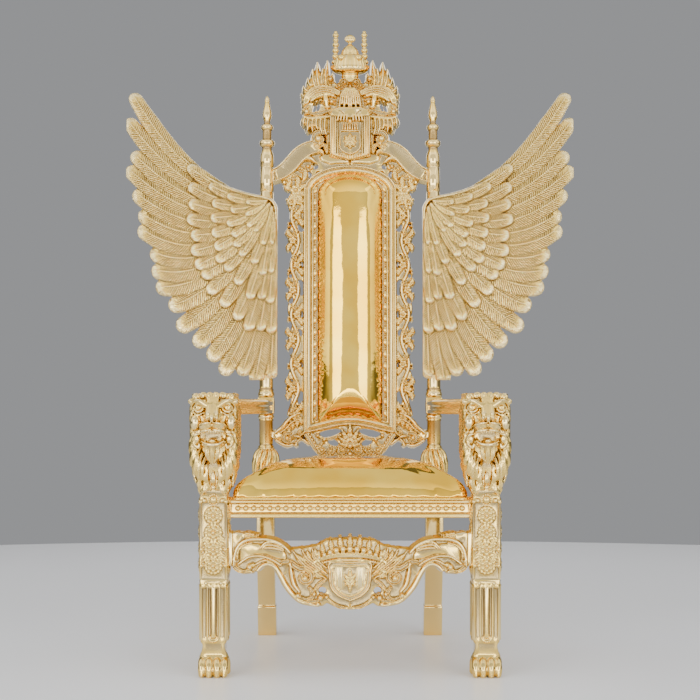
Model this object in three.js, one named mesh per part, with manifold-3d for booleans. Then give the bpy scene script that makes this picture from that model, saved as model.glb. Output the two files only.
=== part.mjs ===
// A carved and gilded high-backed throne with a wing on each back post.
// Millimetres, +Z up. The sitter faces -Y, and the origin is on the floor under the middle of the throne.
// Each paired piece is modelled for the +X side, and its twin is its mirror image.
import * as THREE from "three";
import { mergeVertices } from "three/addons/utils/BufferGeometryUtils.js";
import Module from "manifold-3d";

const wasm = await Module();
wasm.setup();

// ---- Driving dimensions ----
const GAP = 0.4; // left between pieces that touch
const LEG_X = 350; // middle of a front leg
const LEG_HALF = 35; // half the width of a front leg
const LEG_DEPTH = 74; // a front leg runs from y = 0 to here
const PAW_TOP = 76;
const SHAFT_TOP = 238; // top of the fluted shaft
const BLOCK_TOP = 478; // top of the rosette block
const NECK_TOP = 560; // where the leaf capital runs into the mane
const HEAD_TOP = 730;
const RAIL_TOP = 451;
const RAIL_BOTTOM = 405;
const RAIL_SETBACK = 25; // the front rail's face behind the legs' faces
const RAIL_THICK = 28;
const SEAT_CROWN = 550; // highest point of the seat cushion
const SEAT_FRONT = 22;
const SEAT_BACK = 510;
const SEAT_FRONT_HALF = 309;
const SEAT_BACK_HALF = 244;
const POST_X = 250; // middle of a back post
const POST_Y = 560;
const POST_RADIUS = 20.5;
const POST_TIP = 1631; // tip of the finial
const BACK_LEG_HALF = 26;
const BACK_LEG_FRONT = 534;
const BACK_LEG_REAR = 588;
const RECLINE = THREE.MathUtils.degToRad(3);
const ARM_TOP = 713;
const ARM_BOTTOM = 669;
const ARM_FRONT = 112; // the arm leaves the back of the mane here
const PANEL_HALF = 138; // half the width of the arched panel moulding
const PANEL_TOP = 1415;
const PANEL_RISE = 76; // height of the arch above its springing
const PANEL_BOTTOM = 620; // foot of the moulding at the sides
const PANEL_BOW = 25; // how far its bottom bows up in the middle
const FRAME_HALF = 188; // half the width over the pierced borders
const WING_INNER = 215; // the wing's straight inner edge
const WING_BACK = -21.5; // the wing's flat back, just in front of the post
const WING_SWEEP = 26; // how far the wing's tip swings forward

// ---- Turning three.js geometry into solids and back ----
function solidOf(geometry) {
  const bare = geometry.index ? geometry.toNonIndexed() : geometry.clone();
  for (const name of Object.keys(bare.attributes)) {
    if (name !== "position") bare.deleteAttribute(name);
  }
  const merged = mergeVertices(bare, 1e-3);
  const triVerts = new Uint32Array(merged.index.array);
  const vertProperties = merged.attributes.position.array;
  const made = new wasm.Manifold(new wasm.Mesh({ numProp: 3, vertProperties, triVerts }));
  if (made.volume() > 0) return made;
  for (let i = 0; i < triVerts.length; i += 3) {
    [triVerts[i + 1], triVerts[i + 2]] = [triVerts[i + 2], triVerts[i + 1]];
  }
  return new wasm.Manifold(new wasm.Mesh({ numProp: 3, vertProperties, triVerts }));
}

function geometryOf(solid) {
  const { numProp, vertProperties, triVerts, numVert } = solid.getMesh();
  const position = new Float32Array(numVert * 3);
  for (let i = 0; i < numVert; i += 1) {
    position.set(vertProperties.subarray(i * numProp, i * numProp + 3), i * 3);
  }
  const geometry = new THREE.BufferGeometry();
  geometry.setAttribute("position", new THREE.BufferAttribute(position, 3));
  geometry.setIndex(new THREE.BufferAttribute(new Uint32Array(triVerts), 1));
  geometry.computeVertexNormals();
  return geometry;
}

const join = (geometries) => geometries.map(solidOf).reduce((whole, next) => whole.add(next));

// ---- Basic shapes ----
function box(x0, x1, y0, y1, z0, z1) {
  return new THREE.BoxGeometry(x1 - x0, y1 - y0, z1 - z0).translate(
    (x0 + x1) / 2,
    (y0 + y1) / 2,
    (z0 + z1) / 2,
  );
}

// A rounded lump: an ellipsoid of the given half sizes, turned about Y by tilt.
function lump([x, y, z], [rx, ry, rz], { tilt = 0, sides = 5, rows = 3 } = {}) {
  return new THREE.SphereGeometry(1, sides, rows)
    .rotateX(Math.PI / 2)
    .scale(rx, ry, rz)
    .rotateY(tilt)
    .translate(x, y, z);
}

// A leaf or lock: a slim cone from a root to a tip, flattened in depth.
function lock(root, tip, radius, sides = 5) {
  const from = new THREE.Vector3(...root);
  const to = new THREE.Vector3(...tip);
  const along = new THREE.Vector3().subVectors(to, from);
  const cone = new THREE.ConeGeometry(radius, along.length(), sides).translate(0, along.length() / 2, 0);
  const turn = new THREE.Quaternion().setFromUnitVectors(new THREE.Vector3(0, 1, 0), along.normalize());
  return cone.applyQuaternion(turn).translate(...root);
}

// A flat shape drawn in X and Z, from y = back forward to y = front.
function plate(shape, front, back, curveSegments = 4) {
  return new THREE.ExtrudeGeometry(shape, { depth: back - front, bevelEnabled: false, curveSegments })
    .rotateX(Math.PI / 2)
    .translate(0, back, 0);
}

const shapeOf = (points) => new THREE.Shape(points.map(([x, z]) => new THREE.Vector2(x, z)));

// The right half of an outline, from top to bottom, and its mirror image.
const mirrored = (half) => [
  ...half,
  ...half.filter(([x]) => x > 0).map(([x, z]) => [-x, z]).reverse(),
];

// The outline of an oval hole, turned by tilt.
function ovalHole(x, z, rx, rz, tilt = 0, sides = 7) {
  const turn = [Math.cos(tilt), Math.sin(tilt)];
  return Array.from({ length: sides }, (_, i) => {
    const a = (2 * Math.PI * (i + 0.5)) / sides;
    const [u, v] = [rx * Math.cos(a), rz * Math.sin(a)];
    return new THREE.Vector2(x + u * turn[0] - v * turn[1], z + u * turn[1] + v * turn[0]);
  });
}

function pierce(shape, holes) {
  shape.holes.push(...holes.map((points) => new THREE.Path(points)));
  return shape;
}

// A turned piece: [radius, height] pairs from foot to tip, closed on the axis at both ends.
function turning(profile, sides) {
  const points = [[0, profile[0][1]], ...profile, [0, profile.at(-1)[1]]].map(
    ([r, h]) => new THREE.Vector2(r, h),
  );
  return new THREE.LatheGeometry(points, sides).rotateX(Math.PI / 2);
}

// A solid skin over rings of points that all have the same count, closed with a fan at each end.
function loft(rings) {
  const count = rings[0].length;
  const position = rings.flat().flatMap((p) => [p.x, p.y, p.z]);
  const index = [];
  for (let r = 0; r + 1 < rings.length; r += 1) {
    for (let i = 0; i < count; i += 1) {
      const a = r * count + i;
      const b = r * count + ((i + 1) % count);
      index.push(a, b, b + count, a, b + count, a + count);
    }
  }
  for (const [start, flip] of [[0, true], [(rings.length - 1) * count, false]]) {
    const ring = rings[start / count];
    const centre = ring.reduce((sum, p) => sum.add(p), new THREE.Vector3()).divideScalar(count);
    const hub = position.length / 3;
    position.push(centre.x, centre.y, centre.z);
    for (let i = 0; i < count; i += 1) {
      const a = start + i;
      const b = start + ((i + 1) % count);
      index.push(...(flip ? [b, a, hub] : [a, b, hub]));
    }
  }
  const geometry = new THREE.BufferGeometry();
  geometry.setAttribute("position", new THREE.Float32BufferAttribute(position, 3));
  geometry.setIndex(index);
  return geometry;
}

// A ring of eight points round a rectangle with its corners cut.
function corneredRing(x0, x1, y0, y1, z, cut) {
  return [
    [x0 + cut, y0], [x1 - cut, y0], [x1, y0 + cut], [x1, y1 - cut],
    [x1 - cut, y1], [x0 + cut, y1], [x0, y1 - cut], [x0, y0 + cut],
  ].map(([x, y]) => new THREE.Vector3(x, y, z));
}

// ---- Front leg with its lion's head, about x = 0 ----
const TOES = 4;
const ROSETTES = [286, 328, 371, 414]; // heights of the rosettes on each face
const ROSETTE_RADIUS = 22;

function legBody() {
  const levels = [
    // z, half width, front, back, corner cut
    [0, 33, -8, 72, 8],
    [34, 34, -8, 74, 10],
    [58, 30, -2, 72, 12],
    [PAW_TOP, 27, 5, 68, 10],
    [100, 32, 2, 72, 8],
    [SHAFT_TOP - 12, 32, 3, 72, 7],
    [SHAFT_TOP, LEG_HALF, 0, LEG_DEPTH, 5],
    [BLOCK_TOP, LEG_HALF, 0, LEG_DEPTH, 5],
    [BLOCK_TOP + 22, 38, -4, 78, 8],
    [NECK_TOP - 22, 50, -2, 96, 14],
    [NECK_TOP + 20, 58, 8, 108, 18],
    [HEAD_TOP - 24, 57, 10, ARM_FRONT, 20],
    [HEAD_TOP, 48, 16, ARM_FRONT - 12, 20],
  ];
  return loft(levels.map(([z, half, front, back, cut]) => corneredRing(-half, half, front, back, z, cut)));
}

function paw() {
  const pitch = 17;
  return Array.from({ length: TOES }, (_, i) => {
    const x = (i - (TOES - 1) / 2) * pitch;
    const reach = 24 - Math.abs(x) * 0.16;
    return lump([x, -reach + 20, 17], [9.4, 24, 26], { sides: 4 });
  });
}

function flutes() {
  return [-20, 0, 20].map((x) =>
    new THREE.CylinderGeometry(8, 8, SHAFT_TOP - 26 - 100, 4)
      .rotateX(Math.PI / 2)
      .translate(x, 4, (SHAFT_TOP - 26 + 100) / 2),
  );
}

// Rosettes stand on the front and on the outer side of the block: the rail and the stretcher meet the inner side.
function rosettes() {
  const rosette = (profile, z, turnZ, x, y) =>
    turning(profile, 6).rotateX(Math.PI / 2).rotateZ(turnZ).translate(x, y, z);
  const r = ROSETTE_RADIUS;
  const domed = [[r, -2], [r * 0.92, 4], [r * 0.3, 9]];
  const plain = [[r, -2], [r * 0.7, 7]];
  return ROSETTES.flatMap((z) => [
    rosette(domed, z, 0, 0, 0),
    rosette(plain, z, Math.PI / 2, LEG_HALF, LEG_DEPTH / 2),
  ]);
}

function lionFace() {
  const pairs = [-1, 1].flatMap((s) => [
    lump([s * 24, -6, 697], [25, 15, 9], { tilt: s * 0.35 }), // brow
    lump([s * 36, -7, 683], [11, 11, 10], { sides: 4, rows: 2 }), // eye
    lump([s * 15, -14, 646], [19, 28, 15]), // upper lip
  ]);
  return [
    lump([0, -10, 674], [15, 32, 22]), // bridge and nose
    lump([0, -8, 600], [25, 32, 14]), // lower jaw
    lock([0, -6, 604], [0, -4, NECK_TOP - 14], 24, 6), // beard
    ...pairs,
  ];
}

// Curls over the brow, and locks of the mane in rows down the sides and the throat.
function mane() {
  const curls = [-36, -12, 12, 36].map((x) => lump([x, 4, HEAD_TOP - 18], [15, 18, 18], { sides: 4, rows: 2 }));
  const locks = [];
  for (const side of [-1, 1]) {
    for (let row = 0; row < 3; row += 1) {
      for (let i = 0; i < 2; i += 1) {
        const y = 30 + i * 44;
        const z = HEAD_TOP - 40 - row * 50 - i * 6;
        locks.push(lock([side * 48, y, z], [side * (60 - row * 4), y + 8, z - 58], 19, 4));
      }
    }
    locks.push(lock([side * 34, -2, 600], [side * 24, -6, NECK_TOP - 40], 17));
  }
  return [...curls, ...locks];
}

// Leaves that spread up the neck from a round boss with a bead at each side.
function capital() {
  const leaves = [-26, 0, 26].map((x) => lock([x, -2, BLOCK_TOP + 4], [x * 1.3, -6, NECK_TOP - 12], 13));
  return [
    ...leaves,
    lump([0, -2, 454], [14, 11, 14], { sides: 4, rows: 2 }),
  ];
}

function frontLeg() {
  const mouth = solidOf(lump([0, -28, 621], [19, 24, 8]));
  const belowFloor = solidOf(box(-90, 90, -90, 160, -60, 0));
  const behindMane = solidOf(box(-90, 90, ARM_FRONT, 220, 500, 800));
  return join([legBody(), ...paw(), ...flutes(), ...rosettes(), ...lionFace(), ...mane(), ...capital()])
    .subtract(mouth)
    .subtract(belowFloor)
    .subtract(behindMane);
}

// ---- Arm: a moulded rail from the mane back to the block on the post ----
function arm() {
  const half = 23;
  const middle = (ARM_TOP + ARM_BOTTOM) / 2;
  const section = shapeOf([
    [-half, ARM_BOTTOM + 4], [-half + 5, ARM_BOTTOM], [half - 5, ARM_BOTTOM], [half, ARM_BOTTOM + 4],
    [half, middle - 5], [half - 4, middle], [half, middle + 5],
    [half - 2, ARM_TOP - 8], [half - 12, ARM_TOP], [-half + 12, ARM_TOP], [-half + 2, ARM_TOP - 8],
    [-half, middle + 5], [-half + 4, middle], [-half, middle - 5],
  ]);
  const front = ARM_FRONT + GAP;
  const back = POST_Y - 13.5;
  const lean = (POST_X - LEG_X) / (back - front);
  const shear = new THREE.Matrix4().set(1, lean, 0, LEG_X - lean * front, 0, 1, 0, 0, 0, 0, 1, 0, 0, 0, 0, 1);
  return solidOf(plate(section, front, back).applyMatrix4(shear));
}

// ---- Back post: a sabre leg, a leaf-carved base, and a turned shaft with its finial ----
// What stands above the seat leans back about the seat's height.
const leanBack = new THREE.Matrix4()
  .makeTranslation(0, POST_Y, RAIL_TOP)
  .multiply(new THREE.Matrix4().makeRotationX(-RECLINE))
  .multiply(new THREE.Matrix4().makeTranslation(0, 0, -RAIL_TOP));

function shaftProfile() {
  const r = POST_RADIUS;
  return [
    [r * 1.1, RAIL_TOP - 10], [r * 1.1, RAIL_TOP + 3], [r * 1.85, RAIL_TOP + 14], [r * 1.85, RAIL_TOP + 64],
    [r * 1.5, RAIL_TOP + 96],
    [r, RAIL_TOP + 112], [r, 650], [r + 4, 660], [r, 670], [r, 718], [r + 4, 729], [r, 738], [r, 1440],
    [r * 0.72, 1462], [r * 0.72, 1478], [r * 1.1, 1487], [r * 0.66, 1496], [r * 0.66, 1526],
    [r * 0.9, 1537], [r * 0.42, 1550], [r * 0.72, 1572], [r * 0.34, 1606], [r * 0.2, POST_TIP - 3],
  ];
}

function backPost() {
  const shaft = turning(shaftProfile(), 7).applyMatrix4(leanBack);
  const armBlock = box(-23.5, 23.5, -23.5, 23.5, ARM_BOTTOM, ARM_TOP + 3).applyMatrix4(leanBack);
  const side = new THREE.Shape(
    [
      [BACK_LEG_FRONT, RAIL_TOP], [BACK_LEG_FRONT, 330], [548, 240], [578, 130], [598, 84], [594, 78], [616, 0],
      [672, 0], [654, 76], [640, 120], [612, 230], [BACK_LEG_REAR, 330], [BACK_LEG_REAR, RAIL_TOP],
    ].map(([y, z]) => new THREE.Vector2(y, z)),
  );
  const leg = new THREE.ExtrudeGeometry(side, { depth: 2 * BACK_LEG_HALF, bevelEnabled: false })
    .applyMatrix4(new THREE.Matrix4().set(0, 0, 1, -BACK_LEG_HALF, 1, 0, 0, 0, 0, 1, 0, 0, 0, 0, 0, 1));
  return join([leg, shaft, armBlock]);
}

// ---- Wing: four overlapping rows of feathers, drawn in the leaning back's own frame ----
const SHOULDER = [[252, 1306], [246, 1292], [238, 1280], [230, 1272]];
const BEND = [[470, 1338], [436, 1180], [425, 1070], [366, 1030], [262, 975], [226, 1000]];
const TIPS = [[634, 1652], [641, 1430], [604, 1225], [560, 1080], [500, 940], [400, 834], [300, 782], [234, 784]];
const curveOf = (points) => new THREE.CatmullRomCurve3(points.map(([x, z]) => new THREE.Vector3(x, 0, z)));
const [shoulderCurve, bendCurve, tipCurve] = [SHOULDER, BEND, TIPS].map(curveOf);

// The line of the feather at share t of the way round the fan, from the shoulder to its tip.
const featherLine = (t) =>
  new THREE.QuadraticBezierCurve3(shoulderCurve.getPoint(t), bendCurve.getPoint(t), tipCurve.getPoint(t));

// A row of feathers as one ridged skin over a flat back. Feathers start and end at shares of their lines,
// rise to a ridge along the middle, and each stands out past the valley beside it.
function fan({ count, from, to, ridge, valley, notch, stations }) {
  const columns = 2 * count + 1;
  const at = (column, share) => {
    const isRidge = column % 2 === 1;
    const t = column / (columns - 1);
    const jag = isRidge && ((column - 1) / 2) % 3 === 1 ? notch * 0.45 : 0;
    const end = (isRidge ? to : to - notch) - jag;
    return featherLine(t).getPoint(from + (end - from) * share);
  };
  const front = stations.map(([share, rise]) =>
    Array.from({ length: columns }, (_, c) =>
      at(c, share).setY(c % 2 === 1 ? valley + (ridge - valley) * rise : valley),
    ),
  );
  const rear = [0, 1].map((share) => Array.from({ length: columns }, (_, c) => at(c, share).setY(WING_BACK)));
  const rows = [...front, rear[1], rear[0]];
  const index = [];
  rows.forEach((_, r) => {
    const next = (r + 1) % rows.length;
    for (let c = 0; c + 1 < columns; c += 1) {
      const [p, q] = [r * columns + c, next * columns + c];
      index.push(p, q, q + 1, p, q + 1, p + 1);
    }
  });
  for (const [c, flip] of [[0, true], [columns - 1, false]]) {
    for (let r = 1; r + 1 < rows.length; r += 1) {
      const [p, q] = [r * columns + c, (r + 1) * columns + c];
      index.push(...(flip ? [c, q, p] : [c, p, q]));
    }
  }
  const geometry = new THREE.BufferGeometry();
  geometry.setAttribute("position", new THREE.Float32BufferAttribute(rows.flat().flatMap((v) => [v.x, v.y, v.z]), 3));
  geometry.setIndex(index);
  return geometry;
}

const LONG = [[0, 0.3], [0.8, 1], [1, 0.35]];
const SHORT = [[0, 0.4], [0.75, 1], [1, 0.35]];
const FANS = [
  { count: 19, from: 0.12, to: 1, ridge: -37, valley: -29, notch: 0.07, stations: LONG },
  { count: 12, from: 0.08, to: 0.66, ridge: -46, valley: -39, notch: 0.05, stations: SHORT },
  { count: 8, from: 0.04, to: 0.44, ridge: -54, valley: -47, notch: 0.05, stations: SHORT },
  { count: 5, from: 0.01, to: 0.26, ridge: -61, valley: -55, notch: 0.04, stations: SHORT },
];

function wing() {
  const shoulder = lump([250, -38, 1284], [34, 26, 32], { sides: 6, rows: 4 });
  const beyondEdge = solidOf(box(100, WING_INNER, -200, 100, 600, 1700));
  const behindBack = solidOf(box(0, 800, WING_BACK, 60, 600, 1800));
  const flat = join([shoulder, ...FANS.map(fan)]).subtract(beyondEdge).subtract(behindBack);
  const geometry = geometryOf(flat);
  const position = geometry.getAttribute("position");
  for (let i = 0; i < position.count; i += 1) {
    const share = Math.max(0, (position.getX(i) - POST_X - 30) / (TIPS[1][0] - POST_X - 30));
    position.setY(i, position.getY(i) - WING_SWEEP * share * share);
  }
  return solidOf(geometry);
}

// ---- Back frame: moulding, pierced borders, shoulders, ears and a pierced bottom rail ----
// The arched outline of the panel, moved in by inset.
function archPoints(inset, arcSteps = 8) {
  const half = PANEL_HALF - inset;
  const top = PANEL_TOP - inset * 0.5;
  const rise = PANEL_RISE - inset * 0.15;
  const foot = PANEL_BOTTOM + inset * 0.65;
  const bow = PANEL_BOW - inset * 0.2;
  const arch = Array.from({ length: arcSteps + 1 }, (_, i) => {
    const a = (Math.PI * i) / arcSteps;
    return [half * Math.cos(a), top - rise + rise * Math.sin(a)];
  });
  const sill = [-0.5, 0, 0.5].map((share) => [half * share, foot + bow * Math.cos((share * Math.PI) / 1.2)]);
  return [...arch, [-half, foot], ...sill, [half, foot]];
}

const BORDER_TOP = 1352;
const BORDER_FOOT = 668;
const BORDER_WAVES = 5;

function frameOutline() {
  const wave = Array.from({ length: BORDER_WAVES * 2 + 1 }, (_, i) => [
    FRAME_HALF + (i % 2 ? 4 : -4),
    BORDER_TOP - ((BORDER_TOP - BORDER_FOOT) * i) / (BORDER_WAVES * 2),
  ]);
  return mirrored([
    [0, 1450], [84, 1450], [96, 1470], [118, 1476], [150, 1464], [184, 1440], [206, 1408], [229.3 - GAP, 1392],
    [229.3 - GAP, 1358], [204, 1356],
    ...wave,
    [204, 636], [229.3 - GAP, 612], [229.3 - GAP, 584], [204, 578], [180, 586], [160, 572], [140, 586],
    [108, 556], [64, 540], [0, 535],
  ]);
}

function frameHoles() {
  const pitch = (BORDER_TOP - BORDER_FOOT) / BORDER_WAVES;
  const borders = Array.from({ length: BORDER_WAVES - 1 }, (_, i) => {
    const z = BORDER_TOP - pitch * (i + 1);
    return [-1, 1].map((s) => ovalHole(s * (PANEL_HALF + 20), z, 9, 22, s * 0.2, 6));
  }).flat();
  const spandrels = [-1, 1].map((s) => ovalHole(s * 136, 1412, 11, 19, s * -0.9, 6));
  const rail = [-1, 1].flatMap((s) => [
    ovalHole(s * 62, 606, 34, 9, s * -0.2, 8),
    ovalHole(s * 40, 580, 16, 8, s * 0.5, 6),
  ]);
  return [...borders, ...spandrels, ...rail];
}

const OPENING_INSET = 38;

function backFrame() {
  const opening = solidOf(plate(shapeOf(archPoints(OPENING_INSET)), -60, 60));
  const field = plate(pierce(shapeOf(frameOutline()), frameHoles()), -14, 10);
  const steps = [[0, -20], [10, -27]].map(([inset, front]) =>
    plate(shapeOf(archPoints(inset)), front, 10),
  );
  const shoulders = [-1, 1].flatMap((s) => [
    plate(
      shapeOf([
        [118, 1471], [150, 1459], [182, 1436], [204, 1404], [228, 1388], [228, 1362], [196, 1374], [170, 1412],
        [140, 1432], [116, 1438],
      ].map(([x, z]) => [s * x, z])),
      -24,
      10,
    ),
    lump([s * 96, -16, 1474], [24, 14, 22]),
    lump([s * 196, -12, 600], [30, 13, 18], { tilt: s * 0.5 }),
    lump([s * 170, -10, 640], [14, 10, 36]),
  ]);
  const scrolls = [-1, 1].flatMap((s) => [
    ...Array.from({ length: BORDER_WAVES }, (_, i) => {
      const z = BORDER_TOP - ((BORDER_TOP - BORDER_FOOT) * (i + 0.5)) / BORDER_WAVES;
      return lump([s * (PANEL_HALF + 26), -12, z], [22, 11, 26], { tilt: s * 0.4, sides: 4, rows: 2 });
    }),
    lump([s * 50, -10, 560], [24, 12, 16]),
  ]);
  const leaf = lock([0, -12, 560], [0, -14, 628], 20, 6);
  return join([field, ...steps, ...shoulders, ...scrolls, leaf]).subtract(opening);
}

// ---- Crest: an applied shield under a palmette, between scrolled leaves, with a crown on top ----
function shieldShape(half, top, foot) {
  return shapeOf(
    mirrored([
      [0, top], [half, top], [half, foot + half * 0.75], [half * 0.62, foot + half * 0.3], [0, foot],
    ]),
  );
}

const CREST_FOOT = 1450 + GAP;
const FRAME_FACE = -14; // the frame's plain face, behind the shield

function crestOutline() {
  return mirrored([
    [0, 1676], [26, 1672], [30, 1656], [44, 1656], [62, 1698], [80, 1672], [98, 1690], [121, 1658],
    [140, 1610], [148, 1580], [139, 1556], [143, 1528], [124, 1506], [98, 1504], [70, 1490], [66, CREST_FOOT],
    [0, CREST_FOOT],
  ]);
}

function crownOfCrest() {
  const bowl = turning(
    [[20, 1650], [27, 1660], [22, 1670], [48, 1686], [52, 1704], [34, 1734], [20, 1752], [6, 1764]],
    8,
  ).scale(1, 0.62, 1);
  const orb = lump([0, 0, 1774], [15, 12, 15], { sides: 6 });
  const strings = [-1, 1].map((s) => {
    const beads = Array.from({ length: 6 }, (_, i) => 1692 + i * 18);
    const profile = beads.flatMap((z) => [[4.5, z], [9.5, z + 9]]);
    return turning([...profile, [4, 1797]], 4).translate(s * 44, 0, 0);
  });
  return [bowl, orb, ...strings].map((g) => g.translate(0, -8, 0));
}

function crest() {
  const field = plate(shapeOf(crestOutline()), -22, 8);
  const bands = [
    plate(shieldShape(62, 1546, 1419), -36, FRAME_FACE - GAP),
    plate(shieldShape(31, 1506, 1433), -44, -30),
    plate(shapeOf(mirrored([[0, 1572], [34, 1574], [60, 1556], [62, 1544], [30, 1538], [0, 1520]])), -48, -16),
  ];
  const palmette = [-1, 0, 1].map((i) => lump([i * 20, -26, 1600], [12, 16, 34], { tilt: i * 0.25 }));
  const sides = [-1, 1].flatMap((s) => [
    lump([s * 92, -20, 1610], [46, 18, 20], { tilt: s * 0.12, sides: 6 }),
    lump([s * 118, -18, 1572], [26, 17, 20]),
    ...[0, 1, 2].map((i) =>
      lock([s * (78 + i * 18), -16, 1552], [s * (92 + i * 22), -14, 1504 + i * 13], 13, 4),
    ),
    ...[0, 1, 2].map((i) => lock([s * (66 + i * 14), -14, 1622], [s * (60 + i * 22), -12, 1700 - i * 12], 14, 4)),
  ]);
  const top = solidOf(box(-80, 80, FRAME_FACE - GAP, 60, 1380, CREST_FOOT));
  return join([field, ...bands, ...palmette, ...sides, ...crownOfCrest()]).subtract(top);
}

// ---- Front stretcher: two arched arms running down to a crowned shield among leaves ----
function stretcherOutline() {
  return mirrored([
    [0, 357], [24, 352], [50, 350], [78, 336], [96, 318], [124, 313], [143, 322], [164, 330], [200, 346],
    [236, 350], [276, 366], [LEG_X - LEG_HALF - GAP, 362], [LEG_X - LEG_HALF - GAP, 260], [300, 263],
    [274, 257], [246, 262], [232, 280], [211, 285], [189, 259], [172, 236], [158, 210], [137, 194],
    [112, 183], [86, 174], [64, 184], [44, 178], [24, 169], [0, 166],
  ]);
}

function stretcher() {
  const holes = [-1, 1].flatMap((s) => [
    ovalHole(s * 245, 296, 11, 7, 0, 6),
    ovalHole(s * 74, 220, 12, 9, s * 0.5, 6),
  ]);
  const front = RAIL_SETBACK - 3;
  const back = RAIL_SETBACK + 23;
  const field = plate(pierce(shapeOf(stretcherOutline()), holes), front, back);
  const shield = [
    plate(shieldShape(52, 292, 186), front - 10, back - 4),
    plate(shieldShape(42, 286, 196), front - 15, back - 4),
    plate(shieldShape(30, 270, 204), front - 19, back - 4),
  ];
  const crownPoints = Array.from({ length: 5 }, (_, i) => {
    const x = (i - 2) * 29;
    return lump([x, front - 2, 334 - Math.abs(x) * 0.22], [16, 15, 16], { sides: 4, rows: 2 });
  });
  const brim = lump([0, front - 2, 308], [70, 15, 10], { sides: 6 });
  const sides = [-1, 1].flatMap((s) => [
    lump([s * 117, front - 1, 250], [24, 14, 24], { sides: 6 }),
    lump([s * 92, front - 3, 196], [30, 11, 13], { tilt: s * -0.3 }),
    lump([s * 205, front - 1, 320], [58, 14, 16], { tilt: s * 0.28 }),
    lump([s * 268, front - 3, 318], [18, 13, 34], { tilt: s * 0.3 }),
    ...[0, 1].map((i) => lock([s * (134 - i * 8), front - 2, 292 - i * 22], [s * (92 - i * 18), front - 3, 312 - i * 30], 13, 4)),
  ]);
  return join([field, ...shield, ...crownPoints, brim, ...sides]);
}

// ---- Seat rails ----
function frontRail() {
  const [front, back, low, high] = [RAIL_SETBACK, RAIL_SETBACK + RAIL_THICK, RAIL_BOTTOM, RAIL_TOP];
  const channel = 4;
  const half = LEG_X - LEG_HALF - GAP;
  const section = new THREE.Shape(
    [
      [back, low], [back, high], [front + 3, high], [front, high - 4], [front, high - 12], [front + channel, high - 15],
      [front + channel, low + 16], [front, low + 13], [front, low + 3], [front + 3, low],
    ].map(([y, z]) => new THREE.Vector2(y, z)),
  );
  return solidOf(
    new THREE.ExtrudeGeometry(section, { depth: 2 * half, bevelEnabled: false })
      .applyMatrix4(new THREE.Matrix4().set(0, 0, 1, -half, 1, 0, 0, 0, 0, 1, 0, 0, 0, 0, 0, 1)),
  );
}

function sideRail() {
  const front = LEG_DEPTH + GAP;
  const back = BACK_LEG_FRONT - GAP;
  const [x0, x1] = [322, 254];
  const lean = (x1 - x0) / (back - front);
  const shear = new THREE.Matrix4().set(1, lean, 0, x0 - lean * front, 0, 1, 0, 0, 0, 0, 1, 0, 0, 0, 0, 1);
  const half = RAIL_THICK / 2;
  const section = shapeOf([
    [-half, RAIL_BOTTOM], [half - 3, RAIL_BOTTOM], [half, RAIL_BOTTOM + 3], [half, RAIL_BOTTOM + 13],
    [half - 3, RAIL_BOTTOM + 16], [half - 3, RAIL_TOP - 15], [half, RAIL_TOP - 12], [half, RAIL_TOP - 4],
    [half - 3, RAIL_TOP], [-half, RAIL_TOP],
  ]);
  return solidOf(plate(section, front, back).applyMatrix4(shear));
}

function backRail() {
  const half = POST_X - BACK_LEG_HALF - GAP;
  return solidOf(box(-half, half, 542, 572, RAIL_BOTTOM, RAIL_TOP));
}

// ---- Upholstery ----
function seatCushion() {
  const base = RAIL_TOP + GAP;
  const height = SEAT_CROWN - base;
  const middle = (SEAT_FRONT + SEAT_BACK) / 2;
  const outline = (share, z) => {
    const corners = [];
    const rows = 4;
    const put = (x, y) => corners.push(new THREE.Vector3(x * share, middle + (y - middle) * share, z));
    const halfAt = (v) => SEAT_FRONT_HALF + (SEAT_BACK_HALF - SEAT_FRONT_HALF) * v;
    const depth = SEAT_BACK - SEAT_FRONT;
    for (let i = -2; i <= 2; i += 1) put((i / 2) * (halfAt(0) - 10), SEAT_FRONT);
    for (let i = 0; i <= rows; i += 1) put(halfAt(i / rows), SEAT_FRONT + 10 + ((depth - 20) * i) / rows);
    for (let i = 2; i >= -2; i -= 1) put((i / 2) * (halfAt(1) - 10), SEAT_BACK);
    for (let i = rows; i >= 0; i -= 1) put(-halfAt(i / rows), SEAT_FRONT + 10 + ((depth - 20) * i) / rows);
    return corners;
  };
  const levels = [[0.985, 0], [1, 0.14], [0.99, 0.36], [0.94, 0.62], [0.84, 0.8], [0.62, 0.93], [0.3, 0.99]];
  return solidOf(loft(levels.map(([share, rise]) => outline(share, base + height * rise))));
}

function pillow(inset, levels) {
  const outline = archPoints(inset).reverse();
  const [midX, midZ] = [0, (PANEL_TOP + PANEL_BOTTOM) / 2];
  const half = PANEL_HALF - inset;
  const tall = (PANEL_TOP - PANEL_BOTTOM) / 2;
  return solidOf(
    loft(
      levels.map(([pull, y]) =>
        outline.map(
          ([x, z]) =>
            new THREE.Vector3(midX + (x - midX) * (1 - pull / half), y, midZ + (z - midZ) * (1 - pull / tall)),
        ),
      ),
    ),
  );
}

const backCushion = () =>
  pillow(OPENING_INSET + 0.6, [[0, -1], [0, -20], [2, -38], [12, -56], [34, -68], [64, -73]]);
const backPanel = () => pillow(OPENING_INSET + 0.6, [[40, 20], [12, 17], [0, 9], [0, -0.4]]);

// ---- Assembly ----
const GILDING = { color: 0xd9b36a, roughness: 0.34, metalness: 0.9 };
const CAST_GILDING = { color: 0xcfae72, roughness: 0.45, metalness: 0.85 };
const GOLD_VINYL = { color: 0xdcae3c, roughness: 0.1, metalness: 1 };

function piece(name, solid, finish) {
  const mesh = new THREE.Mesh(geometryOf(solid), new THREE.MeshStandardMaterial(finish));
  mesh.name = name;
  return mesh;
}

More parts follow.
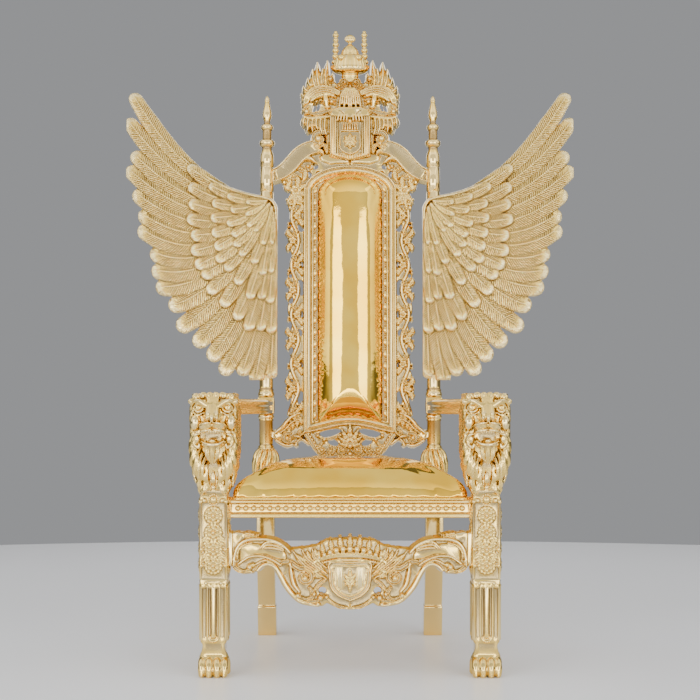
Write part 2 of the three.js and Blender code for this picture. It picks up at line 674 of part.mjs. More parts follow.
function pair(name, solid, finish, x = 0) {
  return [1, -1].map((side) => {
    const mesh = piece(`${name}_${side > 0 ? "right" : "left"}`, solid, finish);
    mesh.scale.x = side;
    mesh.position.x = side * x;
    return mesh;
  });
}

const throne = new THREE.Group();
throne.add(
  ...pair("front_leg", frontLeg(), GILDING, LEG_X),
  ...pair("arm", arm(), GILDING),
  ...pair("back_post", backPost(), GILDING, POST_X),
  ...pair("seat_rail_side", sideRail(), GILDING),
  piece("seat_rail_front", frontRail(), GILDING),
  piece("seat_rail_back", backRail(), GILDING),
  piece("front_stretcher", stretcher(), GILDING),
  piece("seat_cushion", seatCushion(), GOLD_VINYL),
);

// The back is drawn upright about the posts' axes, and leans with them.
const back = new THREE.Group();
back.applyMatrix4(leanBack);
back.add(
  piece("back_frame", backFrame(), GILDING),
  piece("crest", crest(), GILDING),
  piece("back_cushion", backCushion(), GOLD_VINYL),
  piece("back_panel", backPanel(), GOLD_VINYL),
  ...pair("wing", wing(), CAST_GILDING),
);
throne.add(back);

const extent = new THREE.Box3().setFromObject(throne, true);
throne.position.y = -(extent.min.y + extent.max.y) / 2;
const part = new THREE.Group();
part.add(throne);

export default part;
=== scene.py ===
"""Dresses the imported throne: carved and gilded frame, cast wings and mirror-gold upholstery.

Sizes are in millimetres in the throne's own build frame until a mesh is made: X to the right, Y back from the
front face of the front legs, Z up from the floor. The back is drawn upright about its posts and then leans.
"""

from __future__ import annotations

import logging
import math
from collections.abc import Sequence
from dataclasses import dataclass, field
from enum import Enum

import bmesh
import bpy
import numpy as np
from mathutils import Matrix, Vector

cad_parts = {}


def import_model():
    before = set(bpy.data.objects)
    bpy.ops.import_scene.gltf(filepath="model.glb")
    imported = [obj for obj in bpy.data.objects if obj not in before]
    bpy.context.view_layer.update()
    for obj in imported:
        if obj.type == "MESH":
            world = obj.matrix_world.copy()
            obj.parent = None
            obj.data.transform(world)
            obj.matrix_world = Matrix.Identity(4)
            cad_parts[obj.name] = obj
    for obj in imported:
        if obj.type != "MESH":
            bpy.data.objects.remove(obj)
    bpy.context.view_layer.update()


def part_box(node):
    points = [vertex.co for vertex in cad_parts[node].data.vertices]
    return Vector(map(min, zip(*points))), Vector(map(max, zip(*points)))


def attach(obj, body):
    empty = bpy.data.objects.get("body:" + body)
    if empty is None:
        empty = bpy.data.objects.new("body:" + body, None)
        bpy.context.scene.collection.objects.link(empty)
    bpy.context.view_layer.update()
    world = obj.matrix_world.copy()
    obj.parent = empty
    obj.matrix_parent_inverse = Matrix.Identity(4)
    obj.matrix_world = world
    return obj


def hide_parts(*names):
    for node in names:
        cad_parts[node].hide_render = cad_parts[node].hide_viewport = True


LOG = logging.getLogger("throne")
MM = 0.001
SEED = 7
CLOTH_FRAMES = 20
OUTSIDE = -60.0  # height of a relief where there is no wood
WALL_SLOPE = 7.0  # how steeply a carved edge falls, in mm per mm

POST_X = 250.0
POST_Y = 560.0
SEAT_Z = 451.0
RECLINE = math.radians(3.0)
LEG_X = 350.0
LEG_SIDE = 35.4  # from the middle of a front leg to where the stretcher meets it
BACK_FOOT_REAR = 672.0

Array = np.ndarray
Path = Array  # an (n, 2) run of points on a relief
Points = Sequence[Sequence[float]] | Array


# ----------------------------------------------------------------------------
# Shader maths
# ----------------------------------------------------------------------------
class Value:
    """A number socket in a material, with the arithmetic operators."""

    def __init__(self, graph: Graph, socket: bpy.types.NodeSocket) -> None:
        """Wraps a socket of a graph."""
        self.graph = graph
        self.socket = socket

    def _math(self, operation: str, *others: Value | float, swap: bool = False) -> Value:
        """Adds one Math node.

        Args:
            operation: the node's operation.
            others: its other inputs.
            swap: whether this value is the second input.

        Returns:
            The node's result.
        """
        inputs = [self, *others]
        if swap:
            inputs.reverse()
        return self.graph.node("ShaderNodeMath", {"operation": operation}, dict(enumerate(inputs)))

    def __add__(self, other: Value | float) -> Value:
        """Returns the sum."""
        return self._math("ADD", other)

    def __sub__(self, other: Value | float) -> Value:
        """Returns the difference."""
        return self._math("SUBTRACT", other)

    def __mul__(self, other: Value | float) -> Value:
        """Returns the product."""
        return self._math("MULTIPLY", other)

    def __rsub__(self, other: float) -> Value:
        """Returns a number less this value."""
        return self._math("SUBTRACT", other, swap=True)

    def clamped(self) -> Value:
        """Returns the value held between 0 and 1."""
        return self.graph.node("ShaderNodeClamp", {}, {0: self})

    def wave(self, frequency: float) -> Value:
        """Returns the sine of this value times a frequency."""
        return (self * frequency)._math("SINE")

    def between(self, low: float, high: float) -> Value:
        """Returns 0 below low and 1 above high, with a smooth step between."""
        settings = {"interpolation_type": "SMOOTHSTEP"}
        return self.graph.node(
            "ShaderNodeMapRange", settings, {"Value": self, "From Min": low, "From Max": high}
        )


class Graph:
    """A material's node tree."""

    def __init__(self, name: str) -> None:
        """Starts an empty material with an output."""
        self.material = bpy.data.materials.new(name)
        self.material.use_nodes = True
        self.tree = self.material.node_tree
        self.tree.nodes.clear()
        self.output = self.tree.nodes.new("ShaderNodeOutputMaterial")

    def node(
        self,
        kind: str,
        settings: dict[str, object],
        inputs: dict[int | str, object],
        output: int | str = 0,
    ) -> Value:
        """Adds a node.

        Args:
            kind: the node's type.
            settings: its properties; a colour ramp's stops come as "stops".
            inputs: a value, or a Value to link, for each socket by name or number.
            output: the socket that is returned.

        Returns:
            The chosen output.
        """
        made = self.tree.nodes.new(kind)
        for key, value in settings.items():
            if key == "stops":
                ramp = made.color_ramp
                for (at, colour), element in zip(value, list(ramp.elements) + [None] * len(value)):
                    element = element or ramp.elements.new(at)
                    element.position, element.color = at, colour
            else:
                setattr(made, key, value)
        for key, value in inputs.items():
            if isinstance(value, Value):
                self.tree.links.new(value.socket, made.inputs[key])
            else:
                made.inputs[key].default_value = value
        return Value(self, made.outputs[output])

    def place(self) -> Value:
        """Returns the object coordinates."""
        return self.node("ShaderNodeTexCoord", {}, {}, "Object")

    def attribute(self, name: str) -> Value:
        """Returns a number stored on the mesh's points."""
        return self.node("ShaderNodeAttribute", {"attribute_name": name}, {}, "Fac")

    def noise(self, scale: float, detail: float = 2.0, roughness: float = 0.5) -> Value:
        """Returns noise over the object's own coordinates, with scale in cells per metre."""
        inputs = {"Vector": self.place(), "Scale": scale, "Detail": detail, "Roughness": roughness}
        return self.node("ShaderNodeTexNoise", {}, inputs)

    def mix(self, share: Value | float, first: object, second: object) -> Value:
        """Returns a blend of two colours."""
        inputs = {0: share, 6: first, 7: second}
        return self.node("ShaderNodeMix", {"data_type": "RGBA"}, inputs, 2)

    def bump(self, height: Value, distance: float, strength: float = 1.0) -> Value:
        """Returns a normal bent by a height, with distance in metres."""
        return self.node(
            "ShaderNodeBump", {}, {"Height": height, "Distance": distance, "Strength": strength}, "Normal"
        )

    def surface(self, inputs: dict[int | str, object]) -> bpy.types.Material:
        """Ends the tree in one Principled shader and returns the material."""
        shader = self.node("ShaderNodeBsdfPrincipled", {}, inputs, "BSDF")
        self.tree.links.new(shader.socket, self.output.inputs["Surface"])
        return self.material


Colour = tuple[float, float, float]


@dataclass(frozen=True)
class Gilding:
    """Metallic gold paint over carved wood or resin, with a painted highlight on what stands out and brown
    painted shade in the recesses.
    """

    name: str
    body: Colour
    # the painted highlight colour, laid on the ridges
    high: Colour
    # the painted shade colour, laid in the hollows
    recess_shade: Colour
    roughness: float
    grain: float = 900.0
    grain_depth: float = 0.00006
    # how strongly the mottle noise shows in the painted shade and highlight masks, the roughness and the
    # bumps
    mottling: float = 1.0
    barbs: bool = False

    def material(self) -> bpy.types.Material:
        """Returns the finish as a material that reads the mesh's hollows, to paint shade into them and
        highlights onto its ridges.
        """
        graph = Graph(self.name)
        relief = graph.attribute("relief")
        cloud = graph.noise(14.0, 3.0)
        mottle = graph.noise(160.0, 4.0, 0.62)
        grain = graph.noise(self.grain, 2.0)
        # low is the mask of painted shade in the hollows, top the mask of painted highlight on the ridges;
        # the mottle makes both patchy.
        low = (relief + (mottle - 0.5) * 0.4 * self.mottling).between(0.06, 0.5)
        top = (relief + (mottle - 0.5) * 0.3 * self.mottling).between(0.6, 0.98)
        tone = graph.mix((cloud - 0.5) * 0.7 + 0.5, (*self.body, 1.0), (*(c * 0.92 for c in self.body), 1.0))
        # The hollows get the painted shade colour and the ridges a share of the painted highlight colour.
        painted = graph.mix(low, (*self.recess_shade, 1.0), tone)
        colour = graph.mix(top * 0.6, painted, (*self.high, 1.0))
        rough = (1.0 - low) * 0.2 + self.roughness + (mottle - 0.5) * 0.1 * self.mottling - top * 0.05
        height = grain + mottle * 0.8 * self.mottling
        if self.barbs:
            height = height + graph.attribute("barb").wave(2.0 * math.pi) * 0.9
        return graph.surface(
            {
                "Base Color": colour,
                "Metallic": 1.0,
                "Roughness": rough.clamped(),
                "Normal": graph.bump(height, self.grain_depth),
            }
        )


@dataclass(frozen=True)
class MirrorVinyl:
    """Mirror-bright gold vinyl, pulled tight over foam."""

    name: str
    body: Colour
    # a darker colour, spread at random over the swell noise and laid as painted shade in the creases
    deep: Colour
    roughness: float

    def material(self) -> bpy.types.Material:
        """Returns the finish as a material, a little uneven where the foam shows through, with painted shade
        in its creases.
        """
        graph = Graph(self.name)
        swell = graph.noise(9.0, 2.0)
        ripple = graph.noise(46.0, 2.0, 0.4)
        skin = graph.noise(1400.0, 2.0)
        # The cover's hollows get the darker colour as painted shade.
        crease_shade = graph.attribute("relief").between(0.18, 0.5)
        tone = graph.mix(swell.between(0.3, 0.7), (*self.body, 1.0), (*self.deep, 1.0))
        colour = graph.mix(crease_shade, (*self.deep, 1.0), tone)
        height = swell * 6.0 + ripple * 1.0 + skin * 0.04
        return graph.surface(
            {
                "Base Color": colour,
                "Metallic": 1.0,
                "Roughness": (ripple - 0.5) * 0.05 + self.roughness,
                "Normal": graph.bump(height, 0.0004, 0.6),
            }
        )


@dataclass(frozen=True)
class Studio:
    """The plain floor's finish."""

    name: str
    colour: Colour
    roughness: float

    def material(self) -> bpy.types.Material:
        """Returns a smooth, faintly clouded floor."""
        graph = Graph(self.name)
        cloud = graph.noise(0.8, 3.0)
        tone = graph.mix(cloud, (*self.colour, 1.0), (*(c * 0.94 for c in self.colour), 1.0))
        return graph.surface({"Base Color": tone, "Roughness": self.roughness})


class Finish(Enum):
    """Every finish on the throne and its floor."""

    # Each gilding gives its body colour, its painted highlight colour, its painted shade colour and its
    # roughness.
    CARVED = Gilding(
        "carved gilding", (0.88, 0.61, 0.16), (1.0, 0.83, 0.45), (0.46, 0.34, 0.15), 0.1, mottling=0.3
    )
    PLAIN = Gilding(
        "smooth gilding", (0.91, 0.61, 0.14), (0.98, 0.74, 0.32), (0.45, 0.29, 0.1), 0.14,
        grain_depth=0.00002, mottling=0.2,
    )
    WING = Gilding(
        "cast gilding", (0.82, 0.57, 0.15), (1.0, 0.83, 0.45), (0.26, 0.17, 0.06), 0.13, barbs=True, mottling=0.6,
        grain_depth=0.0003,
    )
    # The vinyl's darker colour is both random tone and painted shade in its creases.
    VINYL = MirrorVinyl("mirror vinyl", (0.99, 0.65, 0.09), (0.9, 0.52, 0.04), 0.05)
    FLOOR = Studio("studio floor", (0.93, 0.93, 0.94), 0.35)

    def material(self) -> bpy.types.Material:
        """Returns the finish's material, made once."""
        found = bpy.data.materials.get(self.value.name)
        return found or self.value.material()


# ----------------------------------------------------------------------------
# Meshes
# ----------------------------------------------------------------------------
@dataclass
class Skin:
    """A mesh on its way into Blender: points in mm and faces of three or four corners."""

    points: Array
    faces: Array
    marks: dict[str, Array] = field(default_factory=dict)

    @classmethod
    def of(cls, points: Array, marks: dict[str, Array] | None = None) -> Skin:
        """Returns loose points without faces."""
        return cls(np.asarray(points, float), np.zeros((0, 3), int), marks or {})

    def mirrored(self) -> Skin:
        """Returns the twin on the other side of x = 0."""
        return Skin(self.points * (-1.0, 1.0, 1.0), self.faces[:, ::-1], self.marks)

    def moved(self, x: float = 0.0, y: float = 0.0, z: float = 0.0) -> Skin:
        """Returns a copy that is shifted."""
        return Skin(self.points + (x, y, z), self.faces, self.marks)

    def leaning(self) -> Skin:
        """Returns the skin leaned back with the posts."""
        s, c = math.sin(-RECLINE), math.cos(RECLINE)
        y, z = self.points[:, 1], self.points[:, 2] - SEAT_Z
        return Skin(
            np.column_stack((self.points[:, 0], y * c - z * s + POST_Y, y * s + z * c + SEAT_Z)), self.faces,
            self.marks,
        )


def nets(inside: Array, origin: Sequence[float], pitch: float) -> Skin:
    """Skins a block of samples where they change sign.

    Args:
        inside: samples over x, y and z, below zero inside the shape.
        origin: where the first sample is.
        pitch: the samples' spacing.

    Returns:
        A closed skin with four-cornered faces.
    """
    solid = inside < 0
    shape = np.array(inside.shape) - 1
    corners = [(i, j, k) for i in (0, 1) for j in (0, 1) for k in (0, 1)]
    count = np.zeros(shape, np.int8)
    for i, j, k in corners:
        count += solid[i : i + shape[0], j : j + shape[1], k : k + shape[2]]
    cells = np.argwhere((count > 0) & (count < 8))
    total = np.zeros((len(cells), 3))
    hits = np.zeros(len(cells))
    flat = {c: inside[cells[:, 0] + c[0], cells[:, 1] + c[1], cells[:, 2] + c[2]] for c in corners}
    for a in corners:
        for axis in range(3):
            if a[axis]:
                continue
            b = tuple(1 if n == axis else v for n, v in enumerate(a))
            crosses = (flat[a] < 0) != (flat[b] < 0)
            share = flat[a] / np.where(crosses, flat[a] - flat[b], 1.0)
            at = np.array(a, float) + share[:, None] * np.eye(3)[axis]
            total += np.where(crosses[:, None], at, 0.0)
            hits += crosses
    points = (cells + total / hits[:, None]) * pitch + np.asarray(origin)
    number = np.full(shape, -1, np.int64)
    number[tuple(cells.T)] = np.arange(len(cells))
    quads = []
    for axis in range(3):
        u, v = [n for n in range(3) if n != axis]
        here = [slice(None)] * 3
        here[axis] = slice(0, -1)
        ahead = [slice(None)] * 3
        ahead[axis] = slice(1, None)
        starts, ends = solid[tuple(here)], solid[tuple(ahead)]
        for leaving in (True, False):
            at = np.argwhere((starts & ~ends) if leaving else (~starts & ends))
            at = at[(at[:, u] > 0) & (at[:, v] > 0) & (at[:, u] < shape[u]) & (at[:, v] < shape[v])]
            ring = []
            for du, dv in ((0, 0), (-1, 0), (-1, -1), (0, -1)):
                c = at.copy()
                c[:, u] += du
                c[:, v] += dv
                ring.append(number[tuple(c.T)])
            quad = np.column_stack(ring)
            flip = leaving != (axis == 1)
            quads.append(quad if flip else quad[:, ::-1])
    return Skin(points, np.concatenate(quads))


def rings(rows: int, sides: int) -> Array:
    """Returns the faces between rings of points, each joined to itself."""
    r, c = np.meshgrid(np.arange(rows - 1), np.arange(sides), indexing="ij")
    a, b = r * sides + c, r * sides + (c + 1) % sides
    return np.stack((a, b, b + sides, a + sides), -1).reshape(-1, 4)


def numbers(items: bpy.types.bpy_prop_collection, key: str) -> Array:
    """Reads three numbers of each vertex or normal into rows."""
    values = np.empty(len(items) * 3, np.float32)
    items.foreach_get(key, values)
    return values.reshape(-1, 3)


def closed(piece: bpy.types.Object) -> None:
    """Merges doubled points, fills open ends and turns every face outwards."""
    work = bmesh.new()
    work.from_mesh(piece.data)
    bmesh.ops.remove_doubles(work, verts=work.verts, dist=1e-5)
    bmesh.ops.holes_fill(work, edges=[e for e in work.edges if e.is_boundary], sides=0)
    bmesh.ops.recalc_face_normals(work, faces=work.faces)
    work.to_mesh(piece.data)
    work.free()
    piece.data.shade_smooth()


@dataclass(frozen=True)
class Look:
    """How a hard piece is finished: its material, and what is done to its mesh on the way."""

    finish: Finish
    share: float = 1.0  # the share of its faces that is kept
    sealed: bool = False  # whether its open ends are filled
    soft: float = 0.0  # how wide its edges are rounded, in mm
    reach: int = 10
    depth: float = 1.1


CARVING = Look(Finish.CARVED, share=0.5)

# The most triangles that a dense piece keeps, by the end of its name.
MOST_TRIANGLES: dict[str, int] = {
    "_cast": 147_000,
    "frame_carved": 118_000,
    "crest_carved": 76_000,
    "stretcher_carved": 70_000,
    "_lion": 65_000,
    "_leg": 30_000,
    "_leaves": 15_000,
    "seat_cushion_cover": 38_000,
    "back_cushion_cover": 42_000,
    "back_panel_cover": 16_000,
    "back_beading": 16_000,
    "back_nails": 9_000,
}


class Workshop:
    """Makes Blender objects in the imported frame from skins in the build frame."""

    def __init__(self) -> None:
        """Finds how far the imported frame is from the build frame."""
        self.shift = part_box("back_post_right")[1][1] - BACK_FOOT_REAR * MM

    def mesh(self, name: str, skin: Skin, finish: Finish, smooth: bool = True) -> bpy.types.Object:
        """Makes an object at the origin from a skin.

        Args:
            name: the piece's name.
            skin: its points and faces.
            finish: its material.
            smooth: whether its faces are shaded smooth.

        Returns:
            The object.
        """
        points = skin.points * MM
        points[:, 1] += self.shift
        mesh = bpy.data.meshes.new(name)
        count = skin.faces.shape[1]
        mesh.vertices.add(len(points))
        mesh.vertices.foreach_set("co", points.astype(np.float32).ravel())
        mesh.loops.add(skin.faces.size)
        mesh.loops.foreach_set("vertex_index", skin.faces.astype(np.int32).ravel())
        mesh.polygons.add(len(skin.faces))
        mesh.polygons.foreach_set("loop_start", np.arange(0, skin.faces.size, count, dtype=np.int32))
        mesh.polygons.foreach_set("loop_total", np.full(len(skin.faces), count, np.int32))
        mesh.update(calc_edges=True)
        mesh.validate()
        mesh.shade_smooth() if smooth else mesh.shade_flat()
        for key, values in skin.marks.items():
            mesh.attributes.new(key, "FLOAT", "POINT").data.foreach_set("value", values.astype(np.float32))
        made = bpy.data.objects.new(name, mesh)
        bpy.context.scene.collection.objects.link(made)
        made.data.materials.append(finish.material())
        return made

    @staticmethod
    def baked(piece: bpy.types.Object) -> bpy.types.Object:
        """Turns a piece's modifiers into plain mesh."""
        graph = bpy.context.evaluated_depsgraph_get()
        mesh = bpy.data.meshes.new_from_object(piece.evaluated_get(graph))
        old = piece.data
        piece.modifiers.clear()
        piece.data = mesh
        if old.users == 0:
            bpy.data.meshes.remove(old)
        return piece

    def thinned(self, piece: bpy.types.Object, share: float) -> None:
        """Drops faces where the skin is nearly flat.

        Args:
            piece: the object.
            share: the share of its faces that is kept.
        """
        modifier = piece.modifiers.new("thin", "DECIMATE")
        modifier.ratio = share
        self.baked(piece)
        piece.data.shade_smooth()

    def softened(self, piece: bpy.types.Object, width: float) -> None:
        """Rounds a piece's sharp edges.

        Args:
            piece: the object.
            width: how wide the rounding is, in mm.
        """
        modifier = piece.modifiers.new("soft", "BEVEL")
        modifier.width, modifier.segments, modifier.angle_limit = width * MM, 3, math.radians(28)
        modifier.limit_method = "ANGLE"
        self.baked(piece)
        piece.data.shade_smooth()

    def made(self, name: str, skin: Skin, look: Look, slot: str, node: str) -> None:
        """Makes a hard piece and hangs it on the throne.

        Args:
            name: the piece's name.
            skin: its points and faces.
            look: how it is finished.
            slot: the record's material slot.
            node: the plain solid that it stands for.
        """
        piece = self.mesh(name, skin, look.finish)
        if look.sealed:
            closed(piece)
        if look.soft:
            self.softened(piece, look.soft)
        if look.share < 1.0:
            self.thinned(piece, look.share)
        self.hollows(piece, look.reach, look.depth)
        self.ready(piece, slot, node)

    @staticmethod
    def hollows(piece: bpy.types.Object, reach: int = 10, depth: float = 1.1) -> None:
        """Stores how far each point stands out of its neighbourhood, from 0 in a hollow to 1 on a ridge; the
        gilding paints shade where it is low and highlights where it is high, and the vinyl paints shade where
        it is low.

        Args:
            piece: the object.
            reach: how many rings of neighbours are averaged.
            depth: the height in mm that counts as full.
        """
        mesh = piece.data
        count = len(mesh.vertices)
        points = numbers(mesh.vertices, "co").astype(float)
        normals = numbers(mesh.vertex_normals, "vector")
        edges = np.empty(len(mesh.edges) * 2, np.int32)
        mesh.edges.foreach_get("vertices", edges)
        a, b = edges.reshape(-1, 2).T
        degree = np.maximum(np.bincount(a, minlength=count) + np.bincount(b, minlength=count), 1)
        around = points.copy()
        for _ in range(reach):
            total = np.column_stack(
                [
                    np.bincount(a, around[b, n], count) + np.bincount(b, around[a, n], count)
                    for n in range(3)
                ]
            )
            around = 0.3 * around + 0.7 * total / degree[:, None]
        out = ((points - around) * normals).sum(1) / (depth * MM)
        for _ in range(2):
            total = np.bincount(a, out[b], count) + np.bincount(b, out[a], count)
            out = 0.5 * out + 0.5 * total / degree
        mark = mesh.attributes.get("relief") or mesh.attributes.new("relief", "FLOAT", "POINT")
        mark.data.foreach_set("value", np.clip(0.5 + 0.5 * out, 0.0, 1.0).astype(np.float32))

    @classmethod
    def slimmed(cls, piece: bpy.types.Object) -> None:
        """Drops a dense piece's flattest faces until it has no more triangles than it may keep."""
        most = next((n for end, n in MOST_TRIANGLES.items() if piece.name.endswith(end)), None)
        count = len(piece.data.loops) - 2 * len(piece.data.polygons)
        if most and count > most:
            modifier = piece.modifiers.new("slim", "DECIMATE")
            modifier.ratio = most / count
            cls.baked(piece)
            piece.data.shade_smooth()

    @classmethod
    def ready(cls, piece: bpy.types.Object, slot: str, *nodes: str) -> None:
        """Slims a piece and hangs it on the throne.

        Args:
            piece: the object.
            slot: the record's material slot; not used.
            nodes: the plain solids that it stands for.
        """
        cls.slimmed(piece)
        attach(piece, "root")
        if nodes:
            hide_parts(*nodes)
        LOG.info("%s: %d faces", piece.name, len(piece.data.polygons))


@dataclass
class Repeat:
    """Lays small rounded shapes on points with Geometry Nodes, and turns the result into one plain mesh."""

    shop: Workshop
    name: str
    finish: Finish
    rows: int = 8
    segments_per_row: float = 1.6
    # the relief mark given to every egg, which sets how much painted highlight and painted shade its gilding
    # shows
    light: float = 0.66

    def tree(self) -> tuple[bpy.types.NodeTree, str]:
        """Builds the tree: an egg on each point, as wide, as long and turned as the point says.

        Returns:
            The tree, and the identifier of its input for how finely an egg is made.
        """
        tree = bpy.data.node_groups.new(self.name, "GeometryNodeTree")
        make, link = tree.nodes.new, tree.links.new
        tree.interface.new_socket("Geometry", in_out="INPUT", socket_type="NodeSocketGeometry")
        rows_input = tree.interface.new_socket("Rows", in_out="INPUT", socket_type="NodeSocketInt")
        tree.interface.new_socket("Geometry", in_out="OUTPUT", socket_type="NodeSocketGeometry")
        start, end = make("NodeGroupInput"), make("NodeGroupOutput")
        ball, lay = make("GeometryNodeMeshUVSphere"), make("GeometryNodeInstanceOnPoints")
        shape, way, turn = make("ShaderNodeCombineXYZ"), make("ShaderNodeCombineXYZ"), make(
            "FunctionNodeAlignEulerToVector"
        )
        real, dress, soft = make("GeometryNodeRealizeInstances"), make("GeometryNodeSetMaterial"), make(
            "GeometryNodeSetShadeSmooth"
        )
        double = make("ShaderNodeMath")
        double.operation, double.inputs[1].default_value = "MULTIPLY", self.segments_per_row
        turn.axis = "Z"
        dress.inputs["Material"].default_value = self.finish.material()
        ball.inputs["Radius"].default_value = 1.0
        for name, node, sockets in (
            ("size", shape, (0, 1)), ("long", shape, (2,)), ("way_x", way, (0,)), ("way_y", way, (1,)),
            ("way_z", way, (2,)),
        ):
            read = make("GeometryNodeInputNamedAttribute")
            read.data_type = "FLOAT"
            read.inputs["Name"].default_value = name
            for socket in sockets:
                link(read.outputs["Attribute"], node.inputs[socket])
        link(start.outputs["Rows"], ball.inputs["Rings"])
        link(start.outputs["Rows"], double.inputs[0])
        link(double.outputs[0], ball.inputs["Segments"])
        link(start.outputs["Geometry"], lay.inputs["Points"])
        link(ball.outputs["Mesh"], lay.inputs["Instance"])
        link(way.outputs["Vector"], turn.inputs["Vector"])
        link(turn.outputs["Rotation"], lay.inputs["Rotation"])
        link(shape.outputs["Vector"], lay.inputs["Scale"])
        link(lay.outputs["Instances"], real.inputs["Geometry"])
        link(real.outputs["Geometry"], soft.inputs["Geometry"])
        link(soft.outputs["Geometry"], dress.inputs["Geometry"])
        link(dress.outputs["Geometry"], end.inputs["Geometry"])
        return tree, rows_input.identifier

    def laid(self, points: Array, sizes: Array, longs: Array, ways: Array) -> bpy.types.Object:
        """Puts an egg at each point.

        Args:
            points: where the eggs are, in mm.
            sizes: their radii across, in mm.
            longs: their radii along, in mm.
            ways: the directions they point in.

        Returns:
            The finished piece.
        """
        ways = np.broadcast_to(np.asarray(ways, float), (len(points), 3))
        marks = {"size": np.asarray(sizes, float) * MM, "long": np.asarray(longs, float) * MM}
        marks |= {f"way_{axis}": ways[:, n] for n, axis in enumerate("xyz")}
        piece = self.shop.mesh(self.name, Skin.of(points, marks), self.finish)
        tree, rows = self.tree()
        modifier = piece.modifiers.new("repeat", "NODES")
        modifier.node_group = tree
        modifier[rows] = self.rows
        self.shop.baked(piece)
        # Every egg gets one relief mark, so its gilding shows an even share of painted highlight.
        mark = piece.data.attributes.get("relief") or piece.data.attributes.new("relief", "FLOAT", "POINT")
        mark.data.foreach_set("value", np.full(len(piece.data.vertices), self.light, np.float32))
        return piece

    def balls(self, points: Array, radii: Sequence[float], squash: float = 1.0) -> bpy.types.Object:
        """Puts an upright ball at each point, squashed to a share of its width."""
        radii = np.asarray(radii, float)
        return self.laid(points, radii, radii * squash, (0, 0, 1))

    def strand(self, path: Array, pitch: float, r: float, long: float, reel: float) -> bpy.types.Object:
        """Lays barrels along a path with a reel between each two.

        Args:
            path: the places it passes, in mm.
            pitch: the barrels' spacing.
            r: their radius.
            long: half their length.
            reel: the reels' radius, or 0 for none.

        Returns:
            The finished piece.
        """
        steps = np.linalg.norm(np.diff(path, axis=0), axis=1)
        at = np.concatenate(((0.0,), np.cumsum(steps)))
        count = max(2, round(at[-1] / pitch))
        pitch = at[-1] / count

        def spots(places: Array) -> Array:
            return np.column_stack([np.interp(places, at, path[:, n]) for n in range(3)])

        places = (np.arange(count) + 0.5) * pitch
        rows = [(places, r, long)]
        if reel:
            joints = np.arange(count + 1) * pitch
            rows += [
                (np.clip(joints + gap, 0, at[-1]), reel, reel * 0.42) for gap in (-reel * 0.55, reel * 0.55)
            ]
        points = np.vstack([spots(places) for places, _, _ in rows])
        ways = np.vstack([spots(places + 1) - spots(places - 1) for places, _, _ in rows])
        sizes = np.concatenate([np.full(len(places), size) for places, size, _ in rows])
        longs = np.concatenate([np.full(len(places), length) for places, _, length in rows])
        return self.laid(points, sizes, longs, ways / (np.linalg.norm(ways, axis=1)[:, None] + 1e-9))


def sweep(section: Array, path: Array, across: Array, up: Array, sizes: Array | None = None) -> Skin:
    """Carries a closed outline along a path.

    Args:
        section: the outline's corners, across and up, in mm.
        path: the places it passes.
        across: the direction of its width at each place.
        up: the direction of its height at each place.
        sizes: how much wider and higher it is at each place.

    Returns:
        An open-ended tube.
    """
    count = len(path)
    across, up = (np.broadcast_to(np.asarray(v, float), (count, 3)) for v in (across, up))
    sizes = np.ones((count, 2)) if sizes is None else np.asarray(sizes, float)
    points = (
        path[:, None, :]
        + across[:, None, :] * (section[None, :, :1] * sizes[:, None, :1])
        + up[:, None, :] * (section[None, :, 1:] * sizes[:, None, 1:])
    )
    return Skin(points.reshape(-1, 3), rings(count, len(section)))


def spun(profile: Array, sides: int = 40) -> Skin:
    """Turns a profile of radii and heights about the upright axis."""
    a = np.arange(sides) / sides * 2 * math.pi
    r, z = profile[:, :1], profile[:, 1:] + 0 * a
    return Skin(np.stack((r * np.cos(a), r * np.sin(a), z), -1).reshape(-1, 3), rings(len(profile), sides))


